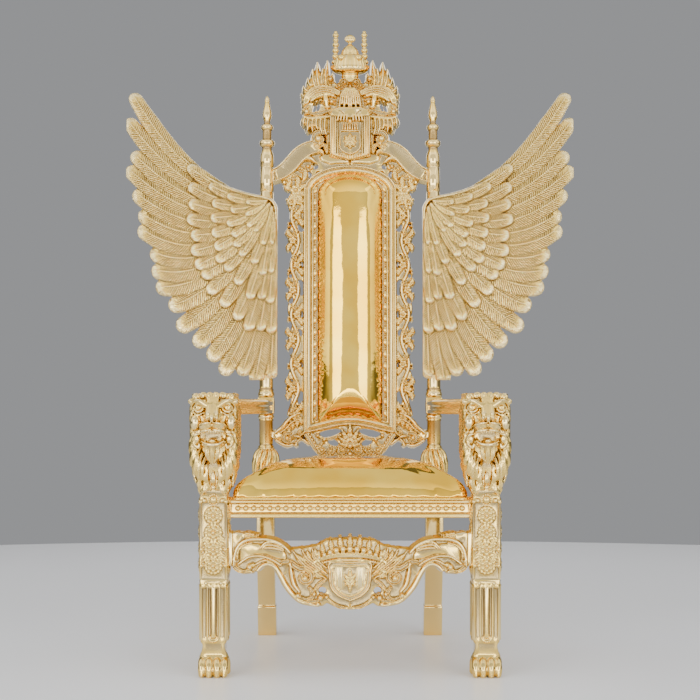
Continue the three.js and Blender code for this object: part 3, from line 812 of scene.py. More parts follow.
class Clay:
    """A solid modelled by adding and cutting soft forms, in a block of samples of their distances."""

    def __init__(self, low: Sequence[float], high: Sequence[float], pitch: float) -> None:
        """Starts with an empty block.

        Args:
            low: the block's near corner in mm.
            high: its far corner in mm.
            pitch: the samples' spacing in mm.
        """
        self.pitch = pitch
        self.low = np.asarray(low, float)
        self.axes = [np.arange(a, b + pitch, pitch, dtype=np.float32) for a, b in zip(low, high)]
        self.d = np.full([len(a) for a in self.axes], 60.0, np.float32)

    def part(self, low: Sequence[float], high: Sequence[float], spill: float) -> tuple[slice, ...] | None:
        """Returns the samples inside a box, or nothing if there are none."""
        cuts = []
        for n in range(3):
            i = int(np.clip((low[n] - spill - self.low[n]) // self.pitch, 0, len(self.axes[n])))
            j = int(np.clip((high[n] + spill - self.low[n]) // self.pitch + 2, 0, len(self.axes[n])))
            if j - i < 2:
                return None
            cuts.append(slice(i, j))
        return tuple(cuts)

    def places(self, part: tuple[slice, ...]) -> tuple[Array, Array, Array]:
        """Returns the coordinates of the samples in a part of the block."""
        x, y, z = (a[c] for a, c in zip(self.axes, part))
        return x[:, None, None], y[None, :, None], z[None, None, :]

    def blend(self, part: tuple[slice, ...], d: Array, soft: float, cut: bool = False) -> None:
        """Adds or cuts away a form, with a fillet.

        Args:
            part: the samples it reaches.
            d: its distances there.
            soft: the fillet's size in mm.
            cut: whether it is cut away.
        """
        old = self.d[part]
        if cut:
            h = np.clip(0.5 - 0.5 * (old + d) / soft, 0, 1)
            self.d[part] = old * (1 - h) - d * h + soft * h * (1 - h)
        else:
            h = np.clip(0.5 + 0.5 * (old - d) / soft, 0, 1)
            self.d[part] = old * (1 - h) + d * h - soft * h * (1 - h)

    def box(
        self, low: Sequence[float], high: Sequence[float], round_: float, soft: float = 2.0, cut: bool = False
    ) -> None:
        """Adds a box with rounded edges."""
        part = self.part(low, high, soft + 4)
        if part is None:
            return
        gaps = []
        for place, a, b in zip(self.places(part), low, high):
            gaps.append(np.abs(place - (a + b) / 2) - (b - a) / 2 + round_)
        outside = np.sqrt(sum(np.maximum(g, 0) ** 2 for g in gaps))
        inside = np.minimum(np.maximum(np.maximum(gaps[0], gaps[1]), gaps[2]), 0)
        self.blend(part, (outside + inside - round_).astype(np.float32), soft, cut)

    def ball(
        self, at: Sequence[float], radii: Sequence[float], soft: float = 3.0, turn: float = 0.0,
        cut: bool = False,
    ) -> None:
        """Adds an egg.

        Args:
            at: its middle.
            radii: its radii along x, y and z.
            soft: its fillet.
            turn: its turn about y, in degrees.
            cut: whether it is cut away.
        """
        reach = max(radii)
        low, high = [a - reach for a in at], [a + reach for a in at]
        part = self.part(low, high, soft + 3)
        if part is None:
            return
        x, y, z = (p - a for p, a in zip(self.places(part), at))
        c, s = math.cos(math.radians(turn)), math.sin(math.radians(turn))
        u, v = x * c + z * s, z * c - x * s
        r = np.sqrt((u / radii[0]) ** 2 + (y / radii[1]) ** 2 + (v / radii[2]) ** 2)
        g = np.sqrt((u / radii[0] ** 2) ** 2 + (y / radii[1] ** 2) ** 2 + (v / radii[2] ** 2) ** 2)
        self.blend(part, (r * (r - 1) / np.maximum(g, 1e-4)).astype(np.float32), soft, cut)

    def rod(
        self,
        path: Points,
        radii: Sequence[float],
        soft: float = 2.0,
        cut: bool = False,
        out: Sequence[float] | None = None,
        thick: float = 0.5,
        ribs: float = 0.0,
        side: int = 1,
        steps: int = 4,
    ) -> None:
        """Adds a round or flattened strand.

        Args:
            path: its middle line; points in a tuple or list are joined by a smooth curve.
            radii: its half widths along the line, spaced evenly.
            soft: its fillet.
            cut: whether it is cut away.
            out: the direction it is flattened in, if it is flat.
            thick: its thickness as a share of its width, if it is flat.
            ribs: the width of the ribs on it, or 0 for none.
            side: -1 for the twin on the other side of x = 0.
            steps: the steps between two given points.
        """
        path = np.asarray(traced(path, steps) * (side, 1, 1), np.float32)
        reach = max(radii)
        part = self.part(path.min(0) - reach, path.max(0) + reach, soft + 2)
        if part is None:
            return
        x, y, z = self.places(part)
        wide = np.interp(np.linspace(0, 1, len(path)), np.linspace(0, 1, len(radii)), radii)
        best = np.full(np.broadcast_shapes(x.shape, y.shape, z.shape), 60.0, np.float32)
        for a, b, ra, rb in zip(path[:-1], path[1:], wide[:-1], wide[1:]):
            run = b - a
            size = float(run @ run) + 1e-6
            px, py, pz = x - a[0], y - a[1], z - a[2]
            t = np.clip((px * run[0] + py * run[1] + pz * run[2]) / size, 0, 1)
            qx, qy, qz = px - t * run[0], py - t * run[1], pz - t * run[2]
            r = ra + (rb - ra) * t
            if out is None:
                d = np.sqrt(qx * qx + qy * qy + qz * qz) - r
            else:
                side = np.cross(run, out)
                side = side / (np.linalg.norm(side) + 1e-6)
                face = np.asarray(out, float)
                u = qx * side[0] + qy * side[1] + qz * side[2]
                v = qx * face[0] + qy * face[1] + qz * face[2]
                rest = np.maximum(qx * qx + qy * qy + qz * qz - u * u - v * v, 0)
                d = (np.sqrt((u * u + rest) * thick**2 + v * v) - r * thick) / math.sqrt(max(thick, 0.3))
                if ribs:
                    d = d - 0.45 * np.cos(u * (2 * math.pi / ribs)) * np.clip(r / 3, 0, 1)
            best = np.minimum(best, d.astype(np.float32))
        self.blend(part, best, soft, cut)

    def skin(self) -> Skin:
        """Returns the solid's skin."""
        for n in range(3):
            for end in (0, -1):
                edge = [slice(None)] * 3
                edge[n] = end
                self.d[tuple(edge)] = np.maximum(self.d[tuple(edge)], 0.01)
        return nets(self.d, self.low, self.pitch)


# ----------------------------------------------------------------------------
# Carving in relief
# ----------------------------------------------------------------------------
def curve(points: Sequence[Sequence[float]], steps: int = 8) -> Path:
    """Returns a smooth run through points."""
    p = np.asarray(points, float)
    if len(p) == 2:
        return np.linspace(p[0], p[1], steps + 1)
    p = np.vstack((2 * p[0] - p[1], p, 2 * p[-1] - p[-2]))
    t = np.linspace(0, 1, steps, endpoint=False)[:, None]
    runs = []
    for a, b, c, d in zip(p[:-3], p[1:-2], p[2:-1], p[3:]):
        runs.append(
            0.5 * (2 * b + (c - a) * t + (2 * a - 5 * b + 4 * c - d) * t**2 + (3 * b - a - 3 * c + d) * t**3)
        )
    return np.vstack((*runs, p[-2:-1]))


def traced(path: Points, steps: int) -> Array:
    """Returns a run of points as it is, or the smooth curve through given points."""
    return path if isinstance(path, np.ndarray) else curve(path, steps)


def arc(x: float, z: float, rx: float, rz: float, start: float, end: float, steps: int = 16) -> Path:
    """Returns part of an oval, with its angles in degrees from +X towards +Z."""
    a = np.radians(np.linspace(start, end, steps + 1))
    return np.column_stack((x + rx * np.cos(a), z + rz * np.sin(a)))


def volute(x: float, z: float, radius: float, start: float, turns: float, tail: float = 0.12) -> Path:
    """Returns a spiral that winds in to a centre.

    Args:
        x: its centre.
        z: its centre.
        radius: where it starts from the centre.
        start: the angle there, in degrees.
        turns: how many turns it makes; negative winds the other way.
        tail: the share of the radius where it ends.

    Returns:
        Its points, from outside in.
    """
    share = np.linspace(0, 1, max(10, int(abs(turns) * 18)))
    a = math.radians(start) + share * turns * 2 * math.pi
    r = radius * (1 - (1 - tail) * share**0.8)
    return np.column_stack((x + r * np.cos(a), z + r * np.sin(a)))


def hooked(points: Points, spiral: Path, steps: int = 4) -> Path:
    """Returns a smooth run through points that leads into a spiral."""
    return np.vstack((curve(points, steps), spiral[1:]))


def inside_of(outline: Points, x: Array, y: Array) -> Array:
    """Returns how far places are inside a closed outline, below zero outside it."""
    outline = np.asarray(outline, float)
    near = np.full(np.broadcast_shapes(x.shape, y.shape), 1e6)
    within = np.zeros(near.shape, bool)
    for (ax, ay), (bx, by) in zip(outline, np.roll(outline, -1, axis=0)):
        dx, dy = bx - ax, by - ay
        t = np.clip(((x - ax) * dx + (y - ay) * dy) / max(dx * dx + dy * dy, 1e-9), 0, 1)
        near = np.minimum(near, np.hypot(x - ax - t * dx, y - ay - t * dy))
        if ay != by:
            within ^= ((ay > y) != (by > y)) & (x < ax + (y - ay) / (by - ay) * dx)
    return np.where(within, near, -near)


class Cut(Enum):
    """How a stroke's face is shaped across its width."""

    ROUND = "round"
    HOLLOW = "hollow"
    LEAF = "leaf"
    FLAT = "flat"
    FLUTED = "fluted"
    FEATHER = "feather"


class Relief:
    """A sheet of heights over x and z, for x from 0 up, that is built up stroke by stroke."""

    def __init__(self, half: float, low: float, high: float, pitch: float, spill: float = 12.0) -> None:
        """Starts with no wood.

        Args:
            half: the furthest x.
            low: the lowest z.
            high: the highest z.
            pitch: the spacing of the heights.
            spill: how far past x = 0 it is drawn, for what crosses the middle.
        """
        self.pitch = pitch
        left = math.ceil(spill / pitch)
        self.x = np.arange(-left, math.ceil(half / pitch) + 1) * pitch
        self.z = low + np.arange(math.ceil((high - low) / pitch) + 1) * pitch
        self.left = left
        self.h = np.full((len(self.x), len(self.z)), OUTSIDE)
        self.barb = np.zeros_like(self.h)

    def window(self, x0: float, x1: float, z0: float, z1: float) -> tuple[slice, slice] | None:
        """Returns the part of the sheet inside a box, or None if it is empty."""
        i0, i1 = np.searchsorted(self.x, (x0, x1))
        k0, k1 = np.searchsorted(self.z, (z0, z1))
        return (slice(i0, i1), slice(k0, k1)) if i1 > i0 and k1 > k0 else None

    def grid(self, part: tuple[slice, slice]) -> tuple[Array, Array]:
        """Returns x and z over a part of the sheet."""
        return np.meshgrid(self.x[part[0]], self.z[part[1]], indexing="ij")

    def oval(self, part: tuple[slice, slice], x: float, z: float, rx: float, rz: float, tilt: float) -> Array:
        """Returns how far places are from an oval's middle, 1 on its edge.

        Args:
            part: the part of the sheet.
            x: the oval's middle.
            z: the oval's middle.
            rx: half its width.
            rz: half its height.
            tilt: how far it is turned, in degrees.

        Returns:
            The distances over that part.
        """
        gx, gz = self.grid(part)
        c, s = math.cos(math.radians(tilt)), math.sin(math.radians(tilt))
        return np.hypot(((gx - x) * c + (gz - z) * s) / rx, ((gz - z) * c - (gx - x) * s) / rz)

    def raise_to(self, part: tuple[slice, slice], height: Array) -> None:
        """Raises a part of the sheet to at least some heights."""
        self.h[part] = np.maximum(self.h[part], height)

    def dome(
        self,
        x: float,
        z: float,
        rx: float,
        rz: float | None = None,
        top: float = 10.0,
        base: float = 0.0,
        tilt: float = 0.0,
        power: float = 0.5,
    ) -> None:
        """Adds a rounded boss.

        Args:
            x: its middle.
            z: its middle.
            rx: half its width.
            rz: half its height; the same as rx if left out.
            top: how high it rises.
            base: the height at its edge.
            tilt: how far it is turned, in degrees.
            power: 0.5 for a ball, more for a sharper point.
        """
        rz = rz or rx
        reach = max(rx, rz) + 4
        part = self.window(x - reach, x + reach, z - reach, z + reach)
        if part is None:
            return
        d = self.oval(part, x, z, rx, rz, tilt)
        rise = base + (top - base) * np.clip(1 - d**2, 0, 1) ** power
        self.raise_to(part, rise - WALL_SLOPE * np.maximum(d - 1, 0) * min(rx, rz))

    def rosette(
        self, x: float, z: float, r: float, petals: int, top: float, base: float, turn: float = 0.0
    ) -> None:
        """Adds a flower with a beaded middle.

        Args:
            x: its middle.
            z: its middle.
            r: its radius.
            petals: how many petals it has.
            top: its highest point.
            base: the height at its edge.
            turn: the first petal's angle, in degrees.
        """
        part = self.window(x - r - 4, x + r + 4, z - r - 4, z + r + 4)
        if part is None:
            return
        gx, gz = self.grid(part)
        d = np.hypot(gx - x, gz - z)
        a = np.arctan2(gz - z, gx - x) - math.radians(turn)
        wave = np.abs(np.cos(a * petals / 2))
        edge = r * (0.76 + 0.24 * wave)
        u = np.clip(d / edge, 0, 1)
        ring = np.sin(np.clip((u - 0.3) / 0.7, 0, 1) * math.pi) ** 0.7
        rise = base + (top - base) * (0.25 + 0.6 * ring * (0.45 + 0.55 * wave))
        rise -= (top - base) * 0.25 * np.exp(-(((u - 0.62) / 0.1) ** 2)) * wave
        rise -= WALL_SLOPE * np.maximum(d - edge, 0)
        self.raise_to(part, rise)
        self.dome(x, z, r * 0.27, top=top + (top - base) * 0.25, base=base)

    def stroke(
        self,
        path: Points,
        half: Sequence[float] | float,
        top: Sequence[float] | float,
        cut: Cut = Cut.ROUND,
        base: float = 0.0,
        lobes: float = 0.0,
        ribs: float = 0.0,
        over: bool = False,
        lift: float = 0.0,
        ends: float = 1.0,
        tilt: float = 0.0,
        steps: int = 6,
    ) -> None:
        """Adds a ribbon along a path.

        Args:
            path: its middle line; points in a tuple or list are joined by a smooth curve.
            half: half its width, at even steps along it.
            top: its height along the middle, at even steps.
            cut: how it is shaped across.
            base: the height at its edges.
            lobes: the length of one lobe of a leaf's edge, or 0 for a plain edge.
            ribs: the spacing of the veins, barbs or flutes.
            over: whether it covers what is under it, even where that is higher.
            lift: how much higher its far end stands.
            ends: 1 for rounded ends, and less for flatter ones.
            tilt: how much higher its right edge stands than its middle, looking along it.
            steps: the steps between two given points.
        """
        path = traced(path, steps)
        half_at = np.atleast_1d(np.asarray(half, float))
        top_at = np.atleast_1d(np.asarray(top, float))
        reach = half_at.max() + 5
        part = self.window(
            path[:, 0].min() - reach, path[:, 0].max() + reach, path[:, 1].min() - reach,
            path[:, 1].max() + reach,
        )
        if part is None:
            return
        gx, gz = self.grid(part)
        best = np.full(gx.shape, 1e9)
        along = np.zeros(gx.shape)
        side = np.zeros(gx.shape)
        strides = np.hypot(*np.diff(path, axis=0).T)
        length = strides.sum()
        walked = 0.0
        for a, b, step in zip(path[:-1], path[1:], strides):
            if step < 1e-6:
                continue
            dx, dz = (b - a) / step
            raw = (gx - a[0]) * dx + (gz - a[1]) * dz
            t = np.clip(raw, 0, step)
            ox, oz = gx - a[0] - t * dx, gz - a[1] - t * dz
            past = (raw - t) / ends
            d = (ox * dz - oz * dx) ** 2 + past**2
            nearer = d < best
            best = np.where(nearer, d, best)
            along = np.where(nearer, walked + t, along)
            side = np.where(nearer, ox * dz - oz * dx, side)
            walked += step
        d = np.sqrt(best)
        s = along / length
        wide = np.interp(s, np.linspace(0, 1, len(half_at)), half_at) if len(half_at) > 1 else half_at[0]
        high = np.interp(s, np.linspace(0, 1, len(top_at)), top_at) if len(top_at) > 1 else top_at[0]
        if lobes:
            saw = (along / lobes) % 1.0
            wide = wide * (0.72 + 0.28 * np.sqrt(np.clip(1 - saw**2, 0, 1)))
        u = np.clip(d / np.maximum(wide, 0.3), 0, 1)
        shape = np.ones_like(u)
        if cut is Cut.ROUND:
            shape = np.sqrt(1 - u**2)
        elif cut is Cut.HOLLOW:
            rim = np.exp(-(((u - 0.78) / 0.2) ** 2))
            shape = 0.42 + 0.58 * rim - 0.3 * np.clip(u - 0.86, 0, 1) / 0.14
        elif cut is Cut.LEAF:
            shape = 0.94 - 0.5 * u**1.6 - 0.3 * np.exp(-((u / 0.12) ** 2))
            if ribs:
                shape = shape + 0.15 * np.cos(2 * math.pi * (along / ribs - 0.9 * u)) * np.clip(u * 3, 0, 1)
        elif cut is Cut.FLAT:
            shape = 1 - 0.35 * np.clip((u - 0.72) / 0.28, 0, 1) ** 2
        elif cut is Cut.FLUTED:
            shape = 0.72 + 0.28 * np.cos(2 * math.pi * side / ribs) - 0.35 * u**4
        elif cut is Cut.FEATHER:
            shaft = np.exp(-((d / 1.9) ** 2))
            barb = np.cos(2 * math.pi * (along / ribs - np.abs(side) / (ribs * 1.5)))
            barb = barb * np.clip((1 - s) * 14, 0, 1)
            shape = 0.86 - 0.3 * u**2.5 + 0.3 * shaft + 0.24 * barb * (1 - shaft)
        rise = base + (high - base) * shape + lift * s
        if tilt:
            rise = rise + tilt * np.clip(side / np.maximum(wide, 0.3), -1, 1)
        rise = rise - WALL_SLOPE * np.maximum(d - wide, 0)
        if over:
            covered = d < wide
            self.h[part] = np.where(
                covered, rise, np.maximum(self.h[part], np.where(d < wide + 3, rise, OUTSIDE))
            )
            self.barb[part] = np.where(covered, along / 2.6 - np.abs(side) / 3.9, self.barb[part])
        else:
            self.raise_to(part, rise)

    def roll(
        self, path: Points, half: Sequence[float] | float, top: Sequence[float] | float, base: float,
        steps: int = 6,
    ) -> None:
        """Adds a plainly rounded ribbon along a path."""
        self.stroke(path, half, top, Cut.ROUND, base, steps=steps)

    def leaf(
        self,
        root: Sequence[float],
        tip: Sequence[float],
        half: float,
        top: float,
        bend: float = 0.0,
        base: float = 0.0,
        curl: float = 0.0,
    ) -> None:
        """Adds an acanthus leaf.

        Args:
            root: where it springs from.
            tip: where it ends.
            half: half its greatest width.
            top: its height.
            bend: how far it bows sideways, as a share of its length.
            base: the height at its edges.
            curl: how much higher its tip is.
        """
        a, b = np.asarray(root, float), np.asarray(tip, float)
        across = np.array(((b - a)[1], -(b - a)[0]))
        path = curve([a, (a + b) / 2 + across * bend, b], 7)
        length = float(np.hypot(*(b - a)))
        self.stroke(
            path,
            (half * 0.55, half * 0.95, half, half * 0.72, half * 0.16),
            (top * 0.82, top, top, top * 0.92, top * 0.75),
            Cut.LEAF,
            base,
            lobes=max(length / 3.4, 6.5),
            ribs=max(length / 5.0, 5.2),
            lift=curl,
        )

    def spray(self, z: float, leaves: Points, top: float, base: float, curl: float) -> None:
        """Adds leaves that spread from a point on the middle line.

        Args:
            z: the point's height.
            leaves: each leaf's angle in degrees, length and half width.
            top: their height.
            base: the height at their edges.
            curl: how much higher their tips are.
        """
        for angle, reach, half in leaves:
            a = math.radians(angle)
            self.leaf((0, z), (reach * math.cos(a), z + reach * math.sin(a)), half, top, 0.0, base, curl)

    def scroll(
        self, path: Points, half: float, top: float, base: float = 0.0, eye: float = 1.0, taper: float = 0.45,
        steps: int = 6,
    ) -> None:
        """Adds a hollowed ribbon that narrows to a round eye at its far end.

        Args:
            path: its middle line.
            half: half its width where it starts.
            top: its height.
            base: the height at its edges.
            eye: the eye's size, as a share of half.
            taper: the share of the width that is left at the far end.
            steps: the steps between two given points.
        """
        path = traced(path, steps)
        self.stroke(path, (half * 0.7, half, half * (1 + taper) / 2, half * taper), top, Cut.HOLLOW, base)
        if eye:
            self.dome(path[-1, 0], path[-1, 1], half * eye, top=top * 1.15, base=base)

    def beads(
        self, path: Points, spacing: float, r: float, top: float, base: float = 0.0, steps: int = 6
    ) -> None:
        """Adds a row of round beads along a path."""
        path = traced(path, steps)
        walked = np.concatenate(((0.0,), np.cumsum(np.hypot(*np.diff(path, axis=0).T))))
        for at in np.arange(spacing / 2, walked[-1], spacing):
            x, z = np.interp(at, walked, path[:, 0]), np.interp(at, walked, path[:, 1])
            self.dome(x, z, r, top=top, base=base)

    def hole(self, x: float, z: float, rx: float, rz: float, tilt: float = 0.0) -> None:
        """Cuts an oval right through."""
        reach = max(rx, rz) + 6
        part = self.window(x - reach, x + reach, z - reach, z + reach)
        if part is None:
            return
        d = (self.oval(part, x, z, rx, rz, tilt) - 1) * min(rx, rz)
        self.h[part] = np.minimum(self.h[part], np.where(d < 0, OUTSIDE, d * WALL_SLOPE * 1.6 - 14))

    def area(self, outline: Points) -> Array:
        """Returns the distance to a closed outline over the whole sheet, positive inside it."""
        return inside_of(outline, *self.grid((slice(None), slice(None))))

    def panel(self, outline: Points, top: float, edge: float = 3.0) -> None:
        """Adds a flat raised field with rounded edges."""
        d = self.area(outline)
        self.h = np.maximum(
            self.h, top - edge * np.clip(1 - d / edge, 0, 1) ** 2 - WALL_SLOPE * np.maximum(-d, 0)
        )

    def full(self) -> tuple[Array, Array]:
        """Returns x and the heights over both sides."""
        right = self.h[self.left :]
        if self.left:
            spill = self.h[: self.left + 1][::-1]
            right = right.copy()
            right[: self.left + 1] = np.maximum(right[: self.left + 1], spill)
        x = self.x[self.left :]
        return np.concatenate((-x[:0:-1], x)), np.concatenate((right[:0:-1], right))

    def skin(self, back: float, both: bool = True, foot: tuple[float, float] | None = None) -> Skin:
        """Turns the heights into a closed slab.

        Args:
            back: the y of its flat back; heights count forward from y = 0.
            both: whether the other side of x is made too.
            foot: below this z, the back is at this y instead.

        Returns:
            The slab's skin.
        """
        x, h = self.full() if both else (self.x, self.h)
        p = self.pitch
        x = np.concatenate(((x[0] - p,), x, (x[-1] + p,)))
        z = np.concatenate(((self.z[0] - p,), self.z, (self.z[-1] + p,)))
        h = np.pad(h, 1, constant_values=OUTSIDE)
        tall = float(h.max())
        y = np.arange(-tall - 2 * p, back + 3 * p, p)
        backs = np.full(len(z), back)
        if foot:
            backs[z < foot[0]] = foot[1]
        field_ = np.maximum(-h[:, None, :] - y[None, :, None], y[None, :, None] - backs).astype(np.float32)
        made = nets(field_, (x[0], y[0], z[0]), p)
        if np.any(self.barb):
            barb = self.barb if not both else np.concatenate(
                (self.barb[self.left :][:0:-1], self.barb[self.left :])
            )
            barb = np.pad(barb, 1)
            i = np.clip(np.round((made.points[:, 0] - x[0]) / p).astype(int), 0, len(x) - 1)
            k = np.clip(np.round((made.points[:, 2] - z[0]) / p).astype(int), 0, len(z) - 1)
            made.marks["barb"] = barb[i, k]
        return made


# ----------------------------------------------------------------------------
# The back
# ----------------------------------------------------------------------------
@dataclass
class BackFrame:
    """The arched moulding with its pierced borders, shoulders, ears and bottom rail, in one carved piece."""

    shop: Workshop
    half: float = 138.0
    top: float = 1415.0
    rise: float = 76.0
    foot: float = 609.0
    bow: float = 27.0
    opening: float = 38.5
    extent: tuple[float, float, float] = (231, 532, 1500)  # the furthest x, the lowest z and the highest z
    pitch: float = 1.8
    back: float = 10.0

    def arch(self, inset: float, steps: int = 24) -> Path:
        """Returns the closed outline of the arch, moved in by inset."""
        half, top = self.half - inset, self.top - inset * 0.5
        rise, foot, bow = self.rise - inset * 0.15, self.foot + inset * 0.65, self.bow - inset * 0.2
        a = np.linspace(0, math.pi, steps + 1)
        over = np.column_stack((half * np.cos(a), top - rise + rise * np.sin(a)))
        share = np.linspace(-1, 1, 13)
        sill = np.column_stack((half * share, foot + bow * (np.cos(share * math.pi / 1.2) * 0.5 + 0.5)))
        return np.vstack((over, sill))

    def moulding(self, sheet: Relief) -> None:
        """Adds the arch's moulding: a fillet, a broad round, a fillet and the channel for the beads."""
        at = (0, 2, 4, 6, 8, 11, 15, 20, 24, 25.5, 27, 28.5, 30, self.opening)
        up = (17, 21, 20, 15, 17, 24, 27, 25, 18, 13, 17, 16, 9, 8)
        d = sheet.area(self.arch(0.0))
        rise = np.interp(d, at, up) - WALL_SLOPE * np.maximum(-d, 0)
        sheet.h = np.where(d > 0, rise, np.maximum(sheet.h, rise))
        sheet.h = np.where(d > self.opening + 5.0, OUTSIDE, sheet.h)

    def border(self, sheet: Relief) -> None:
        """Adds a pierced border of scrolls and leaves beside the moulding."""
        waves = np.linspace(1356, 664, 60)
        edge = 181 + 6 * np.cos((waves - 664) / 692 * 2 * math.pi * 6.5)
        outline = np.vstack((np.column_stack((edge, waves)), ((136, 664), (136, 1356))))
        sheet.panel(outline, 5.0)
        for x, z, rx, rz in (
            (148, 1232, 8, 14), (148, 1128, 8, 18), (148, 1048, 9, 22), (148, 975, 8, 16), (150, 912, 6, 9),
            (148, 808, 8, 15), (147, 726, 6, 10), (147, 706, 7, 13), (153, 682, 9, 11),
        ):
            sheet.hole(x, z, rx, rz, -6)
        for z in (1180, 1088, 1010, 940, 858, 762):
            sheet.hole(177, z, 5, 9, 12)
        # The stem swings from side to side and throws a scroll and leaves into each bend.
        z = np.linspace(1300, 676, 90)
        sway = np.sin((1300 - z) / 632 * 2 * math.pi * 4.25)
        sheet.roll(np.column_stack((165 + 11 * sway, z)), 5.5, 17, 3)
        for n in range(9):
            at = 1300 - 632 * (n + 0.5) / 8.5
            out = 1 if n % 2 else -1
            x = 165 + out * 7
            sheet.rosette(x, at, 12.5, 5, 23, 6, 20.0 * n)
            sheet.leaf((x + out * 2, at + 12), (x + out * 15, at + 36), 9.5, 19, 0.2 * out, 3, 3)
            sheet.leaf((x + out * 2, at - 10), (x + out * 14, at - 32), 9, 17, -0.2 * out, 3, 3)
            sheet.scroll(volute(x - out * 13, at + 20, 10, 90, -1.2 * out), 4.6, 20, 4, 1.1)
            sheet.dome(x - out * 10, at - 14, 4.5, top=18, base=5)
        for n in range(9):
            sheet.beads([(187 + 3 * (-1) ** n, 1318 - n * 71), (186, 1294 - n * 71)], 10, 4.2, 14, 2, steps=8)
        # Flowers and leaves crowd the top of the border.
        sheet.rosette(163, 1340, 18, 6, 22, 6)
        sheet.rosette(176, 1305, 12, 5, 18, 5)
        sheet.rosette(150, 1306, 12, 5, 18, 5, 30)
        for angle in (-150, -115, -80, -50, 20, 160):
            a = math.radians(angle)
            root = (163 + 14 * math.cos(a), 1340 + 14 * math.sin(a))
            tip = (163 + 38 * math.cos(a), 1340 + 44 * math.sin(a))
            sheet.leaf(root, tip, 9, 18, 0.12, 4, 3)

    def shoulder(self, sheet: Relief) -> None:
        """Adds the plain sweeping band from the post to the crest, with leaves under it."""
        outline = (
            (60, 1462), (108, 1466), (150, 1440), (190, 1398), (204, 1362), (130, 1340), (100, 1398),
            (0, 1412), (0, 1462),
        )
        sheet.panel(outline, 7.0)
        for x, z, rx, rz, tilt in ((125, 1389, 9, 9, 0), (106, 1414, 9, 8, 0), (156, 1372, 6, 9, 35)):
            sheet.hole(x, z, rx, rz, tilt)
        field_ = ((0, 1456), (78, 1456), (96, 1444), (90, 1426), (60, 1416), (30, 1418), (0, 1420))
        sheet.panel(field_, 13.0, 10.0)
        # A smooth leaf lies along the band, and smaller ones fall from it.
        sheet.roll(((104, 1424), (118, 1434), (134, 1436), (152, 1424)), (4, 9, 10, 3), (20, 27, 27, 20), 8)
        for x, z, r, turn in ((146, 1404, 12, 1.3), (168, 1384, 12, -1.3)):
            sheet.scroll(volute(x, z, r, 60, turn), 5.2, 20, 6, 1.1)
        for root, tip, half in (
            ((150, 1420), (176, 1402), 9), ((172, 1398), (196, 1372), 10), ((136, 1404), (142, 1366), 9),
            ((158, 1380), (162, 1346), 9), ((182, 1378), (192, 1346), 9), ((114, 1420), (120, 1402), 5),
        ):
            sheet.leaf(root, tip, half, 19, 0.12, 5, 3)
        sheet.dome(126, 1412, 5.5, top=22, base=8)
        sheet.rosette(184, 1364, 10, 5, 20, 6)
        path = (
            (250, 1377), (233, 1382), (206, 1393), (180, 1415), (155, 1444), (136, 1459), (115, 1468),
            (98, 1470),
        )
        band = curve(path, 5)
        width = (18, 19, 21, 23, 23, 22, 21, 19)
        sheet.stroke(band, width, (21, 21, 22, 23, 23, 23, 23, 22), Cut.FLAT, 12, over=True, ends=0.3)
        normal = np.gradient(band, axis=0)
        normal = np.column_stack((-normal[:, 1], normal[:, 0])) / np.hypot(*normal.T)[:, None]
        spread = np.interp(np.linspace(0, 1, len(band)), np.linspace(0, 1, len(width)), width)[:, None]
        for side in (-1, 1):
            sheet.roll(band + normal * (spread - 2.4) * side, 3.0, 28, 16)
        sheet.stroke(((226, 1390), (224, 1372)), 3.5, 9, Cut.FLAT, 8, over=True, steps=4)
        sheet.scroll(volute(92, 1478, 15, -60, 1.6), 6.5, 29, 14, 1.1)
        sheet.leaf((110, 1470), (90, 1500), 9, 26, -0.3, 12, 3)
        sheet.leaf((102, 1460), (78, 1446), 7, 24, 0.2, 12, 2)

    def ear(self, sheet: Relief) -> None:
        """Adds the scrolled leaf that ties the frame's foot to the post."""
        outline = (
            (229, 620), (214, 622), (200, 634), (186, 652), (178, 672), (134, 672), (134, 606), (150, 588),
            (162, 574), (186, 572), (204, 578), (218, 590), (229, 596),
        )
        sheet.panel(outline, 8.0)
        for root, tip, half in (
            ((176, 648), (170, 622), 8), ((188, 636), (182, 610), 8), ((164, 656), (156, 628), 8),
            ((198, 622), (192, 600), 7),
        ):
            sheet.leaf(root, tip, half, 20, 0.1, 6, 2)
        sheet.roll(
            ((222, 612), (200, 629), (188, 645), (172, 660), (150, 670)), (5, 7, 7, 6, 4),
            (20, 26, 27, 26, 22), 8,
        )
        sheet.roll(((206, 612), (190, 624), (176, 640), (156, 652)), (3, 3.4, 3.4, 2.4), 25, 10)
        sheet.stroke(((228, 606), (214, 604), (203, 598)), (11, 12, 9), (16, 17, 13), Cut.FLAT, 6, steps=5)
        sheet.scroll(volute(184, 596, 17, 110, -1.3), 7, 26, 9, 1.1)
        sheet.roll(((166, 602), (152, 600), (142, 593)), (4, 6, 3), (26, 32, 26), 10, steps=5)
        sheet.scroll(volute(147, 614, 9, 200, 1.2), 4, 24, 8, 1.0)
        sheet.roll(((220, 590), (203, 579), (186, 573), (170, 577)), (4, 5.5, 5.5, 4), (18, 24, 24, 20), 8)
        sheet.roll(((160, 580), (150, 591), (138, 590), (124, 578)), (4, 5, 5, 4), (20, 24, 24, 20), 8)
        sheet.dome(160, 575, 7, top=22, base=6)

